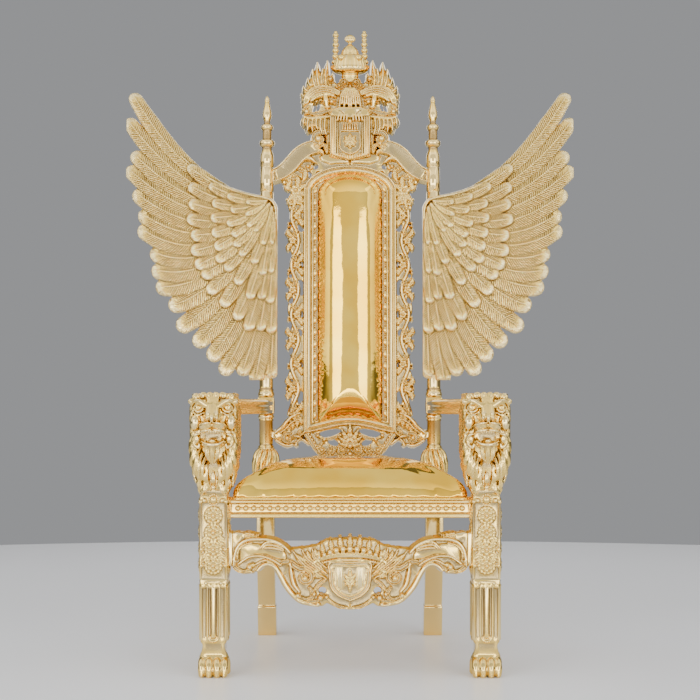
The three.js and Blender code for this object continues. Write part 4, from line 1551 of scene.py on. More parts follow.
    def cartouche(self, sheet: Relief) -> None:
        """Adds the pierced rail under the arch."""
        outline = (
            (0, 646), (60, 640), (100, 630), (136, 616), (128, 598), (110, 568), (92, 546), (60, 540),
            (28, 536), (0, 535),
        )
        sheet.panel(outline, 6.0)
        sheet.hole(63, 611, 33, 8.5, -13)
        sheet.hole(51, 584, 15, 7.5, 22)
        sheet.stroke(((134, 612), (118, 588), (100, 560), (86, 546)), (7, 7, 6, 5), 18, Cut.HOLLOW, 6)
        sheet.beads(((124, 614), (106, 584), (90, 558)), 10, 4, 17, 6)
        sheet.scroll(volute(22, 563, 16, 90, -1.6), 6, 22, 6, 1.1)
        sheet.scroll(volute(58, 560, 12, 90, 1.5), 5, 20, 6, 1.1)
        sheet.scroll(volute(82, 562, 11, 60, -1.4), 5, 19, 6, 1.1)
        sheet.scroll(((28, 606), (48, 598), (74, 594), (96, 604)), 5, 18, 5, 1.3)
        sheet.scroll(((100, 566), (86, 578), (76, 592)), 5, 18, 5, 1.2)
        sheet.spray(572, ((90, 66, 9), (64, 58, 8), (116, 58, 8), (40, 46, 7), (12, 32, 6)), 23, 7, 4)
        sheet.dome(0, 572, 9, top=28, base=8)
        sheet.dome(0, 548, 8, 10, 22, 6)
        sheet.beads(((4, 539), (40, 543), (84, 549)), 8.5, 3.4, 15, 5)

    def build(self) -> None:
        """Carves the frame, lays its beads and takes the place of its plain solid."""
        sheet = Relief(*self.extent, self.pitch)
        self.cartouche(sheet)
        self.border(sheet)
        self.shoulder(sheet)
        self.ear(sheet)
        self.moulding(sheet)
        skin = sheet.skin(self.back).leaning()
        self.shop.made("back_frame_carved", skin, CARVING, "gilt_carving", "back_frame")


@dataclass
class Crest:
    """The carved crest: a shield under a palmette, between scrolled leaves, with a crown on top."""

    shop: Workshop
    extent: tuple[float, float, float] = (150, 1416, 1730)
    pitch: float = 1.6
    back: float = 8.0
    foot: float = 1450.4
    frame_face: float = -28.0

    def field(self, sheet: Relief) -> None:
        """Adds the ground that everything else stands on."""
        outline = (
            (0, 1676), (28, 1672), (40, 1664), (50, 1674), (62, 1690), (84, 1700), (104, 1688), (118, 1664),
            (132, 1636), (142, 1612), (142, 1584), (136, 1556), (128, 1532), (106, 1516), (80, 1508),
            (66, 1480), (63, 1448), (40, 1436), (0, 1426),
        )
        sheet.panel(outline, 22.0, 8.0)

    def wings(self, sheet: Relief) -> None:
        """Adds the leaves, bands, beads and scrolls at the sides."""
        for root, tip, half, top in (
            ((60, 1650), (52, 1692), 8, 30), ((72, 1648), (68, 1727), 9, 36), ((83, 1650), (82, 1704), 8, 33),
            ((93, 1650), (98, 1722), 9, 37), ((104, 1648), (112, 1702), 9, 34),
            ((114, 1644), (127, 1676), 8, 32), ((124, 1636), (140, 1652), 8, 29),
            ((131, 1622), (147, 1630), 7, 27),
        ):
            middle = ((root[0] + tip[0]) / 2 + 3, (root[1] + tip[1]) / 2)
            sheet.stroke(
                (root, middle, tip), (half * 0.7, half, half * 0.8, half * 0.25),
                (top - 3, top, top, top + 3), Cut.FLUTED, top - 11, ribs=half * 1.3, steps=7,
            )
        sheet.scroll(hooked(((92, 1652), (74, 1654)), volute(59, 1669, 15, -70, 1.5)), 6, 40, 14, 1.2)
        sheet.dome(118, 1655, 9, top=36, base=14)
        # The mask under the band: a brow, eye hollows, a nose and a rolled lip.
        sheet.roll(((50, 1622), (72, 1626), (98, 1620), (116, 1606)), (5, 8, 8, 4), 38, 27)
        sheet.roll(((74, 1624), (72, 1606), (70, 1590)), (7, 10, 7), (36, 42, 37), 27)
        sheet.scroll(volute(86, 1606, 8, 100, 1.1), 4, 38, 10, 1.1)
        helmet = curve(((36, 1630), (56, 1637), (82, 1640), (106, 1634), (124, 1620), (132, 1606)), 6)
        sheet.stroke(
            helmet, (7, 11, 12.5, 12.5, 12, 8), (40, 44, 46, 44, 41, 34), Cut.FLUTED, 35, ribs=6.2, over=True
        )
        sheet.dome(55, 1604, 9, top=38, base=12)
        sheet.dome(64, 1588, 6.5, top=36, base=12)
        sheet.scroll(((66, 1577), (88, 1570), (112, 1568), (130, 1573)), 7.0, 36, 24, 1.3)
        sheet.roll(((60, 1560), (86, 1557), (118, 1554), (136, 1558)), (5, 7, 7, 5), 34, 24)
        for x, z, rx, rz in ((96, 1594, 3.8, 10), (107, 1590, 3.2, 9)):
            sheet.hole(x, z, rx, rz, 12)
        for x, z, r in (
            (143, 1612, 5.0), (138, 1598, 8.5), (140, 1581, 7.0), (136, 1567, 5.0), (127, 1588, 5.0)
        ):
            sheet.dome(x, z, r, top=32, base=8)
        for x, z0, z1, half, lean in (
            (137, 1556, 1537, 7, 3), (125, 1553, 1517, 8, 2), (112, 1552, 1513, 7, 0),
            (100, 1552, 1522, 8, -2), (88, 1551, 1511, 8, -3), (75, 1550, 1505, 8, -4),
        ):
            path = curve(((x, z0), (x + lean * 0.2 + 2, (z0 + z1) / 2), (x + lean, z1)), 6)
            sheet.stroke(
                path, (half * 0.8, half, half * 0.8, half * 0.25), (33, 35, 35, 34), Cut.FLUTED, 24,
                ribs=half * 1.3,
            )
        curl = volute(92, 1492, 23, 140, -1.4)
        sheet.scroll(hooked(((64, 1514), (74, 1512)), curl, 3), 8.5, 34, 22, 1.3)
        sheet.dome(92, 1492, 8, 6, 34, 8)
        sheet.roll(((67, 1550), (70, 1520), (68, 1486), (67, 1452)), (3, 5, 4, 2), 24, 8)
        sheet.leaf((78, 1480), (70, 1448), 9, 27, 0.1, 8, 2)

    def middle(self, sheet: Relief) -> None:
        """Adds the palmette, the ribbon and the fluted shield."""
        bell = ((-12, 1644), (14, 1643), (26, 1632), (33, 1612), (36, 1596), (-12, 1596))
        sheet.panel(bell, 34.0, 5.0)
        for n in range(5):
            x = 3.4 + n * 7.0
            foot = (1589, 1596)[n % 2]
            sheet.roll(
                ((x * 0.44, 1644), (x * 0.86, 1620), (x, foot)), (2.0, 3.4, 3.8), (41, 47 - n * 0.5, 44), 33,
                steps=8,
            )
        sheet.scroll(volute(17, 1659, 15, -60, 1.6), 5, 42, 16, 1.1)
        sheet.scroll(volute(31, 1650, 8, 30, -1.2), 3.5, 38, 16, 1.0)
        sheet.dome(0, 1650, 5, 8, 42, 14)
        for n in range(6):
            sheet.dome(40 + n * 1.2, 1648 - n * 10, 4.2, top=40, base=20)
        banner = ((-12, 1586), (32, 1587), (56, 1578), (62, 1566), (58, 1558), (0, 1552), (-12, 1552))
        sheet.panel(banner, 43.0, 5.0)
        sheet.scroll(volute(56, 1570, 8, 120, -1.2), 3.4, 46, 34, 1.1)
        sheet.stroke(
            ((-8, 1545), (0, 1541), (24, 1570), (34, 1574)), 1.5, 39, Cut.FLAT, 38, over=True, steps=5
        )
        for n in range(4):
            sheet.roll(((8 + n * 8.5, 1562), (10 + n * 9.0, 1545)), (2.6, 3.6), (45, 49), 40, steps=4)
        sheet.dome(0, 1541, 6.5, 8.5, 51, 36)
        shield = ((-12, 1558), (61, 1558), (61, 1448), (40, 1438), (20, 1432), (0, 1428), (-12, 1428))
        sheet.panel(shield, 33.0, 4.0)
        for x in (36.5, 43.5, 50.5, 57.5):
            sheet.roll(((x, 1556), (x, 1444 - (57.5 - x) * 0.25)), 2.9, 40, 30, steps=8)
        for n in range(8):
            x = 2 + n * 5.4
            sheet.roll(((x, 1449 - n * 0.4), (x * 0.97, 1430 + n * 1.2)), (2.2, 1.4), 38, 31, steps=3)
        inner = ((-12, 1513), (29, 1513), (29, 1462), (16, 1449), (0, 1442), (-12, 1446))
        sheet.panel(inner, 36.0, 3.0)
        sheet.roll(((-8, 1514), (20, 1514), (28.5, 1512), (29.5, 1500)), 2.6, 43, 34, steps=4)
        sheet.roll(((29.5, 1504), (29.5, 1464), (16, 1450), (0, 1443)), 2.6, 43, 34, steps=5)
        # A plain spray of leaves fills the small shield.
        sheet.spray(
            1480, ((90, 29, 7.5), (48, 27, 7.5), (8, 21, 7.5), (-38, 21, 7.5), (-90, 24, 7.5)), 47, 34, 1
        )
        sheet.dome(0, 1480, 5, top=49, base=38)
        for n in range(4):
            sheet.roll(((n * 7.0, 1534), (n * 7.4, 1519)), (2.2, 2.8), 43, 33, steps=3)

    def crown(self) -> None:
        """Turns the crown, flutes its bowl and hangs a string of beads at each side."""
        rows = curve(
            (
                (0.1, 1664), (23, 1666), (25, 1671), (23, 1677), (25, 1681), (27, 1686), (25, 1690),
                (28, 1693), (40, 1696), (51, 1701), (54, 1708), (53, 1716), (50, 1726), (45, 1737),
                (38, 1745), (28, 1748), (26, 1753), (24, 1762), (17, 1774), (8, 1782), (5, 1785), (6, 1789),
                (12, 1793), (15, 1800), (12, 1808), (5, 1813), (0.1, 1815),
            ),
            3,
        )
        sides = 96
        a = np.arange(sides) / sides * 2 * math.pi
        r, z = np.maximum(rows[:, 0], 0.1)[:, None], rows[:, 1][:, None]
        bowl = np.clip((z - 1700) / 8, 0, 1) * np.clip((1748 - z) / 8, 0, 1)
        dome = np.clip((z - 1748) / 6, 0, 1) * np.clip((1784 - z) / 8, 0, 1)
        bud = np.clip((z - 1790) / 5, 0, 1) * np.clip((1813 - z) / 6, 0, 1)
        puff = np.clip(
            (z - 1726) / 8, 0, 1
        ) * np.clip((1750 - z) / 6, 0, 1) * np.abs(np.cos(a - 0.5 * math.pi))[None, :] ** 0.5
        r = r * (
            1 + bowl * 0.07 * (
                np.abs(np.cos(a * 14)) - 0.5
            )[None, :] + dome * 0.12 * (
                np.abs(np.cos(a * 4)) - 0.6
            )[None, :] + bud * 0.16 * (np.abs(np.cos(a * 6)) - 0.5)[None, :]
        )
        r = r + puff * 5 * (np.abs(np.sin(a * 2.0)) - 0.3)[None, :]
        points = np.stack((r * np.cos(a), r * np.sin(a) * 0.66 - 12, z + 0 * a), -1).reshape(-1, 3)
        skin = Skin(points, rings(len(rows), sides)).leaning()
        look = Look(Finish.CARVED, sealed=True, reach=6, depth=1.2)
        self.shop.made("crest_crown", skin, look, "gilt_carving", "crest")
        strings = []
        for side in (-1, 1):
            for x, z, r in (
                (43, 1821, 5.5), (43, 1812, 9.4), (43, 1797, 8.4), (43, 1783, 10.2), (43.5, 1765, 10.4),
                (44, 1747, 10.4), (46, 1730, 10.0), (50, 1714, 9.4),
            ):
                strings.append((side * x, -12.0, z, r))
            strings.append((side * 26, -36.0, 1736, 12.0))
            for x, z in ((43, 1804.5), (43, 1790), (43, 1774), (43.5, 1756)):
                strings.append((side * x, -12.0, z, 6.4))
        points = Skin.of([(x, y, z) for x, y, z, _ in strings]).leaning().points
        piece = Repeat(self.shop, "crest_crown_beads", Finish.CARVED).balls(
            points, [r for *_, r in strings], 0.86
        )
        self.shop.ready(piece, "gilt_carving", "crest")

    def build(self) -> None:
        """Carves the crest and crowns it."""
        sheet = Relief(*self.extent, self.pitch)
        self.field(sheet)
        self.wings(sheet)
        self.middle(sheet)
        skin = sheet.skin(self.back, foot=(self.foot, self.frame_face + 6)).leaning()
        self.shop.made("crest_carved", skin, CARVING, "gilt_carving", "crest")
        self.crown()


@dataclass
class Stretcher:
    """The carved apron between the front legs."""

    shop: Workshop
    extent: tuple[float, float, float] = (316, 164, 370)
    pitch: float = 1.7
    front: float = 22.0
    thick: float = 26.0

    def arm(self, sheet: Relief) -> None:
        """Adds the arched arm that meets the leg."""
        outline = (
            (316, 362), (294, 369), (280, 367), (262, 364), (240, 355), (217, 353), (190, 348), (166, 337),
            (150, 322), (146, 290), (166, 258), (184, 264), (192, 275), (206, 286), (224, 286), (236, 277),
            (250, 262), (276, 260), (292, 270), (302, 286), (316, 288),
        )
        sheet.panel(outline, 3.0)
        plain = (
            (284, 329), (260, 341), (236, 340), (212, 334), (176, 330), (163, 312), (163, 296), (188, 300),
            (217, 311), (246, 311), (270, 300), (284, 292),
        )
        sheet.panel(plain, 9.0, 5.0)
        sheet.stroke(((309, 288), (309, 362)), 6.5, 9, Cut.FLAT, 2, steps=10)
        rim = (
            (299, 284), (297, 304), (291, 326), (278, 342), (258, 350), (236, 351), (212, 350), (190, 345),
            (170, 333), (155, 317),
        )
        sheet.roll(rim, (5, 5.5, 5.5, 5, 4.5, 4), 15, 3)
        sheet.roll(((290, 300), (286, 322), (272, 336), (252, 342)), 2.4, 12, 5)
        sheet.roll(((286, 288), (262, 304), (240, 308), (217, 305), (196, 296), (178, 284)), 3.6, 13, 3)
        for drop in (0, 7, 14):
            sheet.roll(
                ((232 - drop, 327), (214, 343 - drop), (190, 341 - drop), (170, 329 - drop * 0.6)),
                (2, 3.4, 3.2, 1.6), 15, 7,
            )
        sheet.scroll(((298, 296), (296, 280), (282, 269), (266, 269), (258, 279)), 6.5, 16, 3, 1.3)
        for root, tip, half in (
            ((264, 276), (240, 286), 7), ((272, 268), (250, 266), 6), ((286, 272), (276, 262), 6)
        ):
            sheet.leaf(root, tip, half, 13, 0.1, 3, 2)
        sheet.roll(((246, 284), (222, 296), (200, 290), (184, 270), (174, 248)), 3.2, 12, 2)
        rng = np.random.default_rng(SEED)
        for x in np.arange(236, 274, 5.5):
            for z in (356, 361, 366):
                sheet.dome(
                    x + rng.uniform(-1, 1), z - abs(x - 262) * 0.2 + rng.uniform(-0.6, 0.6), 2.6, top=7,
                    base=1,
                )

    def middle(self, sheet: Relief) -> None:
        """Adds the big scrolls and leaves beside the shield."""
        outline = (
            (0, 352), (60, 348), (86, 334), (120, 328), (150, 326), (160, 318), (166, 296), (178, 258),
            (164, 230), (148, 208), (128, 190), (104, 181), (84, 176), (70, 178), (60, 186), (40, 176),
            (20, 170), (0, 168),
        )
        sheet.panel(outline, 2.0)
        sheet.hole(71, 217, 9, 9, 30)
        low = curve(
            (
                (238, 270), (226, 282), (209, 287), (192, 278), (178, 256), (166, 233), (150, 211),
                (129, 192), (104, 184), (82, 180),
            ),
            6,
        )
        sheet.roll(low, (4, 6, 7, 7.5, 7, 6, 4), 15, 3)
        sheet.roll(((154, 290), (150, 262), (144, 236), (130, 216)), (4, 6.5, 6.5, 3), 18, 3)
        big = hooked(((172, 292), (156, 292), (138, 280)), volute(116, 254, 25, 40, 1.6), 6)
        sheet.scroll(big, 8.5, 19, 3, 1.0)
        sheet.scroll(((104, 226), (96, 214), (100, 200), (118, 196), (134, 206)), 6.5, 17, 3, 1.2)
        sheet.scroll(((126, 200), (104, 192), (86, 192), (76, 200)), 6.5, 17, 3, 1.3)
        sheet.scroll(((64, 246), (78, 236), (90, 222), (92, 210)), 5.5, 15, 2, 1.2)
        sheet.scroll(((8, 174), (30, 178), (48, 190), (60, 202)), 5, 14, 2, 1.2)
        # A long leaf sweeps up from the shield, in three ribs with a lobe between each two.
        for path, half in (
            (((62, 250), (92, 268), (124, 292), (148, 322)), 6.5),
            (((62, 264), (88, 284), (112, 304), (124, 326)), 6.5),
            (((62, 278), (80, 294), (92, 310), (98, 330)), 6.0),
        ):
            sheet.stroke(
                path, (half * 0.6, half, half, half * 0.3), (12, 16, 17, 14), Cut.FLUTED, 3, ribs=6.0, steps=7
            )
        for root, tip, half in (
            ((112, 296), (138, 312), 6), ((100, 300), (110, 322), 6), ((78, 270), (104, 272), 6),
            ((76, 300), (80, 322), 6),
        ):
            sheet.leaf(root, tip, half, 14, 0.1, 2, 3)
        sheet.leaf((96, 262), (70, 256), 7, 15, -0.1, 2, 3)
        sheet.dome(82, 183, 7, top=17, base=3)

    def shield(self, sheet: Relief) -> None:
        """Adds the crowned shield."""
        outline = ((-12, 292), (52, 292), (54, 262), (50, 226), (30, 204), (0, 192), (-12, 196))
        sheet.panel(outline, 12.0, 4.0)
        sheet.roll(((-10, 291), (50, 291), (52, 262), (48, 228), (28, 206), (0, 194)), 2.6, 17, 9)
        sheet.roll(((-10, 281), (40, 281), (42, 260), (38, 232), (22, 214), (0, 205)), 2.0, 15, 9)
        for x in (22, 29, 36):
            sheet.roll(((x, 277), (x, 226 + max(0, x - 24) * 0.6)), 2.4, 15, 10, steps=8)
        sheet.spray(
            242, ((90, 34, 6.5), (55, 24, 6.5), (10, 15, 6.5), (-35, 16, 6.5), (-90, 26, 6.5)), 19, 10, 1
        )
        sheet.dome(0, 242, 5, top=20, base=12)
        sheet.roll(((-10, 298), (30, 298), (66, 292)), (4.5, 4.5, 3.5), 15, 4)
        sheet.stroke(((-10, 310), (34, 309), (74, 300), (90, 292)), (6, 6, 5, 4), 14, Cut.FLAT, 4)
        for x, z, r in (
            (0, 326, 9), (18, 325, 8.5), (35, 322, 8), (51, 317, 7.5), (66, 311, 7), (79, 304, 6)
        ):
            sheet.dome(x, z, r, r * 1.1, 18, 6)
        for x, z, r in ((0, 343, 8), (24, 341, 7.5), (47, 335, 7), (68, 325, 6.5), (84, 313, 5.5)):
            sheet.leaf((x, z - 10), (x * 1.08, z + 14), r, 14, 0, 4, 2)
        sheet.beads(((4, 316), (36, 314), (72, 305)), 7, 2.8, 17, 8)

    def build(self) -> None:
        """Carves the stretcher."""
        sheet = Relief(*self.extent, self.pitch)
        self.arm(sheet)
        self.middle(sheet)
        self.shield(sheet)
        outside = sheet.x > LEG_X - LEG_SIDE
        sheet.h[outside] = OUTSIDE
        skin = sheet.skin(self.thick).moved(y=self.front)
        self.shop.made("front_stretcher_carved", skin, CARVING, "gilt_carving", "front_stretcher")


@dataclass(frozen=True)
class FeatherRow:
    """One row of feathers: how many, where they start and end, and how wide and high they are."""

    count: int
    start: float
    end: tuple[float, float]
    half: tuple[float, float]
    base: float
    top: float
    ribs: float
    spread: tuple[float, float] = (0.0, 1.0)


@dataclass
class Wing:
    """A cast wing: five rows of overlapping feathers that fan out from a rolled shoulder."""

    shop: Workshop
    extent: tuple[float, float, float] = (662, 768, 1628)
    pitch: float = 1.7
    back: float = -21.5
    inner: float = 215.5
    sweep: float = 26.0
    shoulder: Path = field(
        default_factory=lambda: curve(((252, 1300), (244, 1290), (236, 1280), (228, 1270)))
    )
    bend: Path = field(
        default_factory=lambda: curve(
            ((470, 1322), (440, 1190), (425, 1080), (372, 1030), (270, 975), (224, 1000))
        )
    )
    tips: Path = field(
        default_factory=lambda: curve(
            (
                (638, 1604), (650, 1480), (642, 1376), (624, 1284), (600, 1196), (570, 1106), (545, 1030),
                (498, 942), (436, 864), (372, 806), (302, 780), (234, 786),
            )
        )
    )
    rows: tuple[FeatherRow, ...] = (
        FeatherRow(18, 0.2, (1.0, 1.0), (23, 30), 5.0, 15.0, 6.6),
        FeatherRow(14, 0.16, (0.52, 0.68), (19, 23), 15.0, 25.0, 6.2, (0.0, 0.99)),
        FeatherRow(11, 0.1, (0.36, 0.5), (16, 19), 24.0, 33.0, 5.8, (0.02, 0.97)),
        FeatherRow(9, 0.05, (0.24, 0.33), (14, 16), 31.0, 39.0, 5.6, (0.04, 0.95)),
        FeatherRow(6, 0.0, (0.13, 0.18), (12, 13), 35.0, 42.0, 5.4, (0.06, 0.92)),
    )

    def line(self, t: float, start: float, end: float, steps: int = 16) -> Path:
        """Returns part of the line of the feather at share t of the way round the fan."""
        a, b, c = (
            np.array([np.interp(t * (len(p) - 1), np.arange(len(p)), p[:, n]) for n in (0, 1)])
            for p in (self.shoulder, self.bend, self.tips)
        )
        s = np.linspace(start, end, steps + 1)[:, None]
        return (1 - s) ** 2 * a + 2 * s * (1 - s) * b + s**2 * c

    def build(self) -> None:
        """Models the right wing, then makes the left its mirror image."""
        sheet = Relief(*self.extent, self.pitch, spill=0)
        keep = sheet.x >= self.inner - 1
        sheet.x, sheet.h, sheet.barb = sheet.x[keep], sheet.h[keep], sheet.barb[keep]
        rng = np.random.default_rng(SEED)
        for level, row in enumerate(self.rows):
            order = list(range(row.count))[::-1]
            for n in order:
                t = n / (row.count - 1)
                place = row.spread[0] + (row.spread[1] - row.spread[0]) * t
                end = row.end[0] + (row.end[1] - row.end[0]) * t
                swing = 0.03 * math.sin(n * 2.4 + level) + rng.uniform(-0.01, 0.01)
                end = end + (swing - 0.02 if level == 0 and n else swing * 0.5 if level else 0.0)
                start = row.start if level == 0 else row.start + 0.02 * (n % 2)
                half = row.half[0] + (row.half[1] - row.half[0]) * math.sin(t * math.pi)
                sheet.stroke(
                    self.line(place, start, end),
                    (half * 0.5, half * 0.75, half * 0.95, half * 1.06, half * 1.1, half * 0.86),
                    (row.top, row.top, row.top, row.top, row.top + 1, row.top + 2), Cut.FEATHER, row.base,
                    ribs=row.ribs, over=True, tilt=3.2 if level == 0 else 2.4,
                )
        edge = self.line(0.0, 0.0, 0.62, 14) + (0, 9)
        roll = np.vstack((((219, 1246), (222, 1280), (236, 1302)), edge[1:]))
        sheet.roll(curve(roll, 3), (6, 8, 9, 8, 5, 3), (38, 43, 40, 31, 22, 16), 6)
        sheet.roll(((219, 1270), (219, 792)), 4.2, (38, 34, 28, 20, 14), 2, steps=40)
        skin = sheet.skin(0.0, both=False).moved(y=self.back)
        share = np.maximum(skin.points[:, 0] - POST_X - 30, 0) / (641 - POST_X - 30)
        skin.points[:, 1] -= self.sweep * share**2
        skin = skin.leaning()
        for name, twin in (("wing_right", skin), ("wing_left", skin.mirrored())):
            look = Look(Finish.WING, 0.5, reach=8, depth=0.9)
            self.shop.made(f"{name}_cast", twin, look, "gilt_wings", name)


@dataclass
class Leg:
    """A front leg: a lion's paw, a fluted shaft, a block of rosettes and a lion's head on top."""

    shop: Workshop
    pitch: float = 1.5
    mane_back: float = 111.8
    join: float = 480.0

    def rosette(self, clay: Clay, place: Sequence[float], axis: int, way: int, r: float = 22.0) -> None:
        """Adds a rosette to a face.

        Args:
            clay: the leg so far.
            place: its middle on the face.
            axis: the axis that the face looks along.
            way: 1 or -1 along it.
            r: its radius.
        """
        def put(u: float, w: float, out: float, radius: float, flat: float, soft: float) -> None:
            at = list(place)
            at[1 - axis] += u
            at[2] += w
            at[axis] += out * way
            radii = [radius, radius, radius]
            radii[axis] = flat
            clay.ball(at, radii, soft)

        for n in range(14):
            a = n * math.pi / 7
            put(math.cos(a) * (r - 2.4), math.sin(a) * (r - 2.4), 0, 5.0, 5.4, 0.8)
        for n in range(6):
            a = n * math.pi / 3 + math.pi / 2
            put(math.cos(a) * r * 0.52, math.sin(a) * r * 0.52, 0, 7.0, 8.4, 0.6)
        put(0, 0, 1.0, 6.0, 11.0, 0.6)

    def foot(self, clay: Clay) -> None:
        """Adds the paw and the ankle."""
        clay.box((-33, 0, -10), (33, 70, 52), 14)
        clay.box((-28, 4, 40), (28, 70, 96), 8, 10)
        for x, r in ((-28, 9.5), (-10, 10.5), (10, 10.5), (28, 9.5)):
            lean = abs(x) * 0.14
            toe = (
                (x * 1.02, 16 + lean, 44), (x * 1.04, -2 + lean, 38), (x * 1.04, -12 + lean, 22),
                (x * 1.02, -13 + lean, 8),
            )
            clay.rod(toe, (r * 0.9, r, r * 1.02, r * 0.9), 2.5)
            clay.rod(
                ((x * 1.03, -18 + lean, 16), (x * 1.02, -21 + lean, 6), (x * 1.0, -19 + lean, 0)),
                (3.4, 3.4, 1.4), 1.2,
            )
        for side in (-1, 1):
            clay.rod(((30, 18, 56), (34, 24, 34), (33, 30, 10)), (5, 8, 9), 4, side=side)
            clay.rod(((28, 8, 98), (24, 5, 76), (30, 12, 52)), (3, 4, 5), 3, side=side)

    def shaft(self, clay: Clay) -> None:
        """Adds the fluted shaft and its collar."""
        clay.box((-34, 3, 84), (34, 72, 246), 7, 5)
        for axis, way, offset in ((1, -1, 3.0), (0, 1, 34.0), (0, -1, -34.0), (1, 1, 72.0)):
            mid = 0.0 if axis == 1 else 37.5
            def line(points: Sequence[Sequence[float]], out: float) -> Array:
                return np.array(
                    [
                        (u, offset + out * way, w) if axis == 1 else (offset + out * way, mid + u, w)
                        for u, w in points
                    ]
                )
            u_shape = [
                (-15, 230), (-15, 106),
                *[(-15 * math.cos(t), 106 - 17 * math.sin(t)) for t in np.linspace(0.2, math.pi - 0.2, 9)],
                (15, 106), (15, 230),
            ]
            clay.rod(line(((0, 228), (0, 108)), 10.0), (14.0, 14.0), 1.2, cut=True)
            for u in (-1, 1):
                clay.rod(line(((u * 8.5, 228), (u * 8.5, 108)), 3.4), (6.5, 6.5), 1.2, cut=True)
            clay.rod(line(u_shape, 0.4), (2.6, 2.6), 1.0)
            clay.rod(line(((0, 226), (0, 112), (0, 104)), -2.4), (7.5, 7.5, 8.0), 1.2)
            for u in (-1, 1):
                clay.rod(line(((u * 23.5, 222), (u * 23.5, 104)), 2.4), (4.6, 4.6), 1.2, cut=True)
                clay.rod(line(((u * 31, 232), (u * 31, 96)), 0.2), (3, 3), 1.0)
        clay.box((-36, 1, 232), (36, 74, 250), 5, 2)
        for side in (-1, 1):
            for u in (7.5, 25):
                clay.ball((side * u, 2, 232), (7.5, 4, 7), 1.5)
                clay.ball((side * 34.5, 37 + u, 232), (4, 7.5, 7), 1.5)
                clay.ball((side * 34.5, 37 - u, 232), (4, 7.5, 7), 1.5)
            clay.ball((side * 19, 1, 239), (4.5, 4.5, 4.5), 0.8)

    def block(self, clay: Clay) -> None:
        """Adds the block, its rosettes, and the cabochon and leaves above."""
        clay.box((-34.5, 3.5, 240), (34.5, 73, 470), 5, 4)
        for side in (-1, 1):
            for y in (2.6, 73):
                clay.rod(np.array(((side * 33, y, 252), (side * 33, y, 442))), (3, 3), 0.8)
            clay.rod(np.array(((side * 34.4, 6, 252), (side * 34.4, 6, 442))), (2.4, 2.4), 0.8)
        for z in (284, 326, 369, 413):
            self.rosette(clay, (0, 3, z), 1, -1)
            self.rosette(clay, (35, 38, z), 0, 1)
            self.rosette(clay, (-35, 38, z), 0, -1)
        for z in (284, 326):
            for side in (-1, 1):
                clay.ball((side * 31, 2.5, z), (5.5, 5, 5.5), 0.6)
                clay.ball((side * 35, 8, z), (4.5, 5, 5.5), 0.6)
                for n, (du, dz) in enumerate(((30, 24), (31, 17), (29, 10))):
                    clay.rod(
                        (
                            (side * 8, 2.5, z + 26), (side * (du - 8), 1.5, z + dz + 5),
                            (side * du, 2.5, z + dz),
                        ),
                        (1.5, 3.6, 1.6), 0.6, steps=3,
                    )
        clay.box((-36, 1, 444), (36, 74, 466), 6, 2)
        clay.ball((0, 1, 453), (10.5, 8, 10.5), 0.8)
        for n in range(14):
            a = n * math.pi / 7
            clay.ball((math.cos(a) * 13.6, 0.6, 453 + math.sin(a) * 13.6), (2.4, 2.6, 2.4), 0.6)
        for side in (-1, 1):
            clay.ball((side * 23, 0, 451), (6, 6, 6), 0.8)
            clay.ball((side * 33, 2, 448), (5.5, 5.5, 5.5), 0.8)
            for y in (24, 40, 56):
                clay.ball((side * 35, y, 452), (5, 6.5, 6.5), 0.8)
        clay.box((-31, 6, 460), (31, 74, 560), 8, 6)
        for side in (-1, 1):
            for n, (x0, x1, z1, r) in enumerate(
                ((9, 33, 462, 5.2), (8, 34, 472, 5), (8, 30, 484, 4.6), (7, 22, 490, 4.2))
            ):
                path = curve(
                    ((side * x0, 4, 480), (side * (x0 + x1) / 2, -2, (484 + z1) / 2 + 7), (side * x1, 2, z1)),
                    4,
                )
                clay.rod(path, (2.5, r, 2.2), 0.8, out=(0, -1, 0), thick=0.8, ribs=4.0)
            clay.rod(
                ((side * 14, 2, 492), (side * 19, -5, 510), (side * 14, -9, 530)), (6.5, 7.5, 2.4), 0.8,
                out=(0, -1, 0), thick=0.7, ribs=4.4,
            )
            clay.rod(
                ((side * 27, 4, 476), (side * 36, -1, 494), (side * 33, -6, 520)), (5, 7, 2.2), 0.8,
                out=(0, -1, 0), thick=0.7, ribs=4.4,
            )
            for y in (20, 44, 66):
                clay.rod(
                    ((side * 32, y, 470), (side * 40, y + 2, 496), (side * 38, y, 528)), (7, 11, 3), 0.8,
                    out=(side, 0, 0), thick=0.55, ribs=4.6,
                )
                clay.rod(
                    ((side * 32, y - 10, 466), (side * 37.5, y - 12, 482), (side * 35, y - 14, 500)),
                    (5, 7, 2.5), 0.8, out=(side, 0, 0), thick=0.55, ribs=4.6,
                )
        clay.rod(
            ((0, 3, 494), (0, -6, 506), (0, -7, 524)), (6, 8, 3), 0.8, out=(0, -1, 0), thick=0.7, ribs=4.4
        )
        clay.ball((0, 0, 485), (6, 5, 6), 0.8)

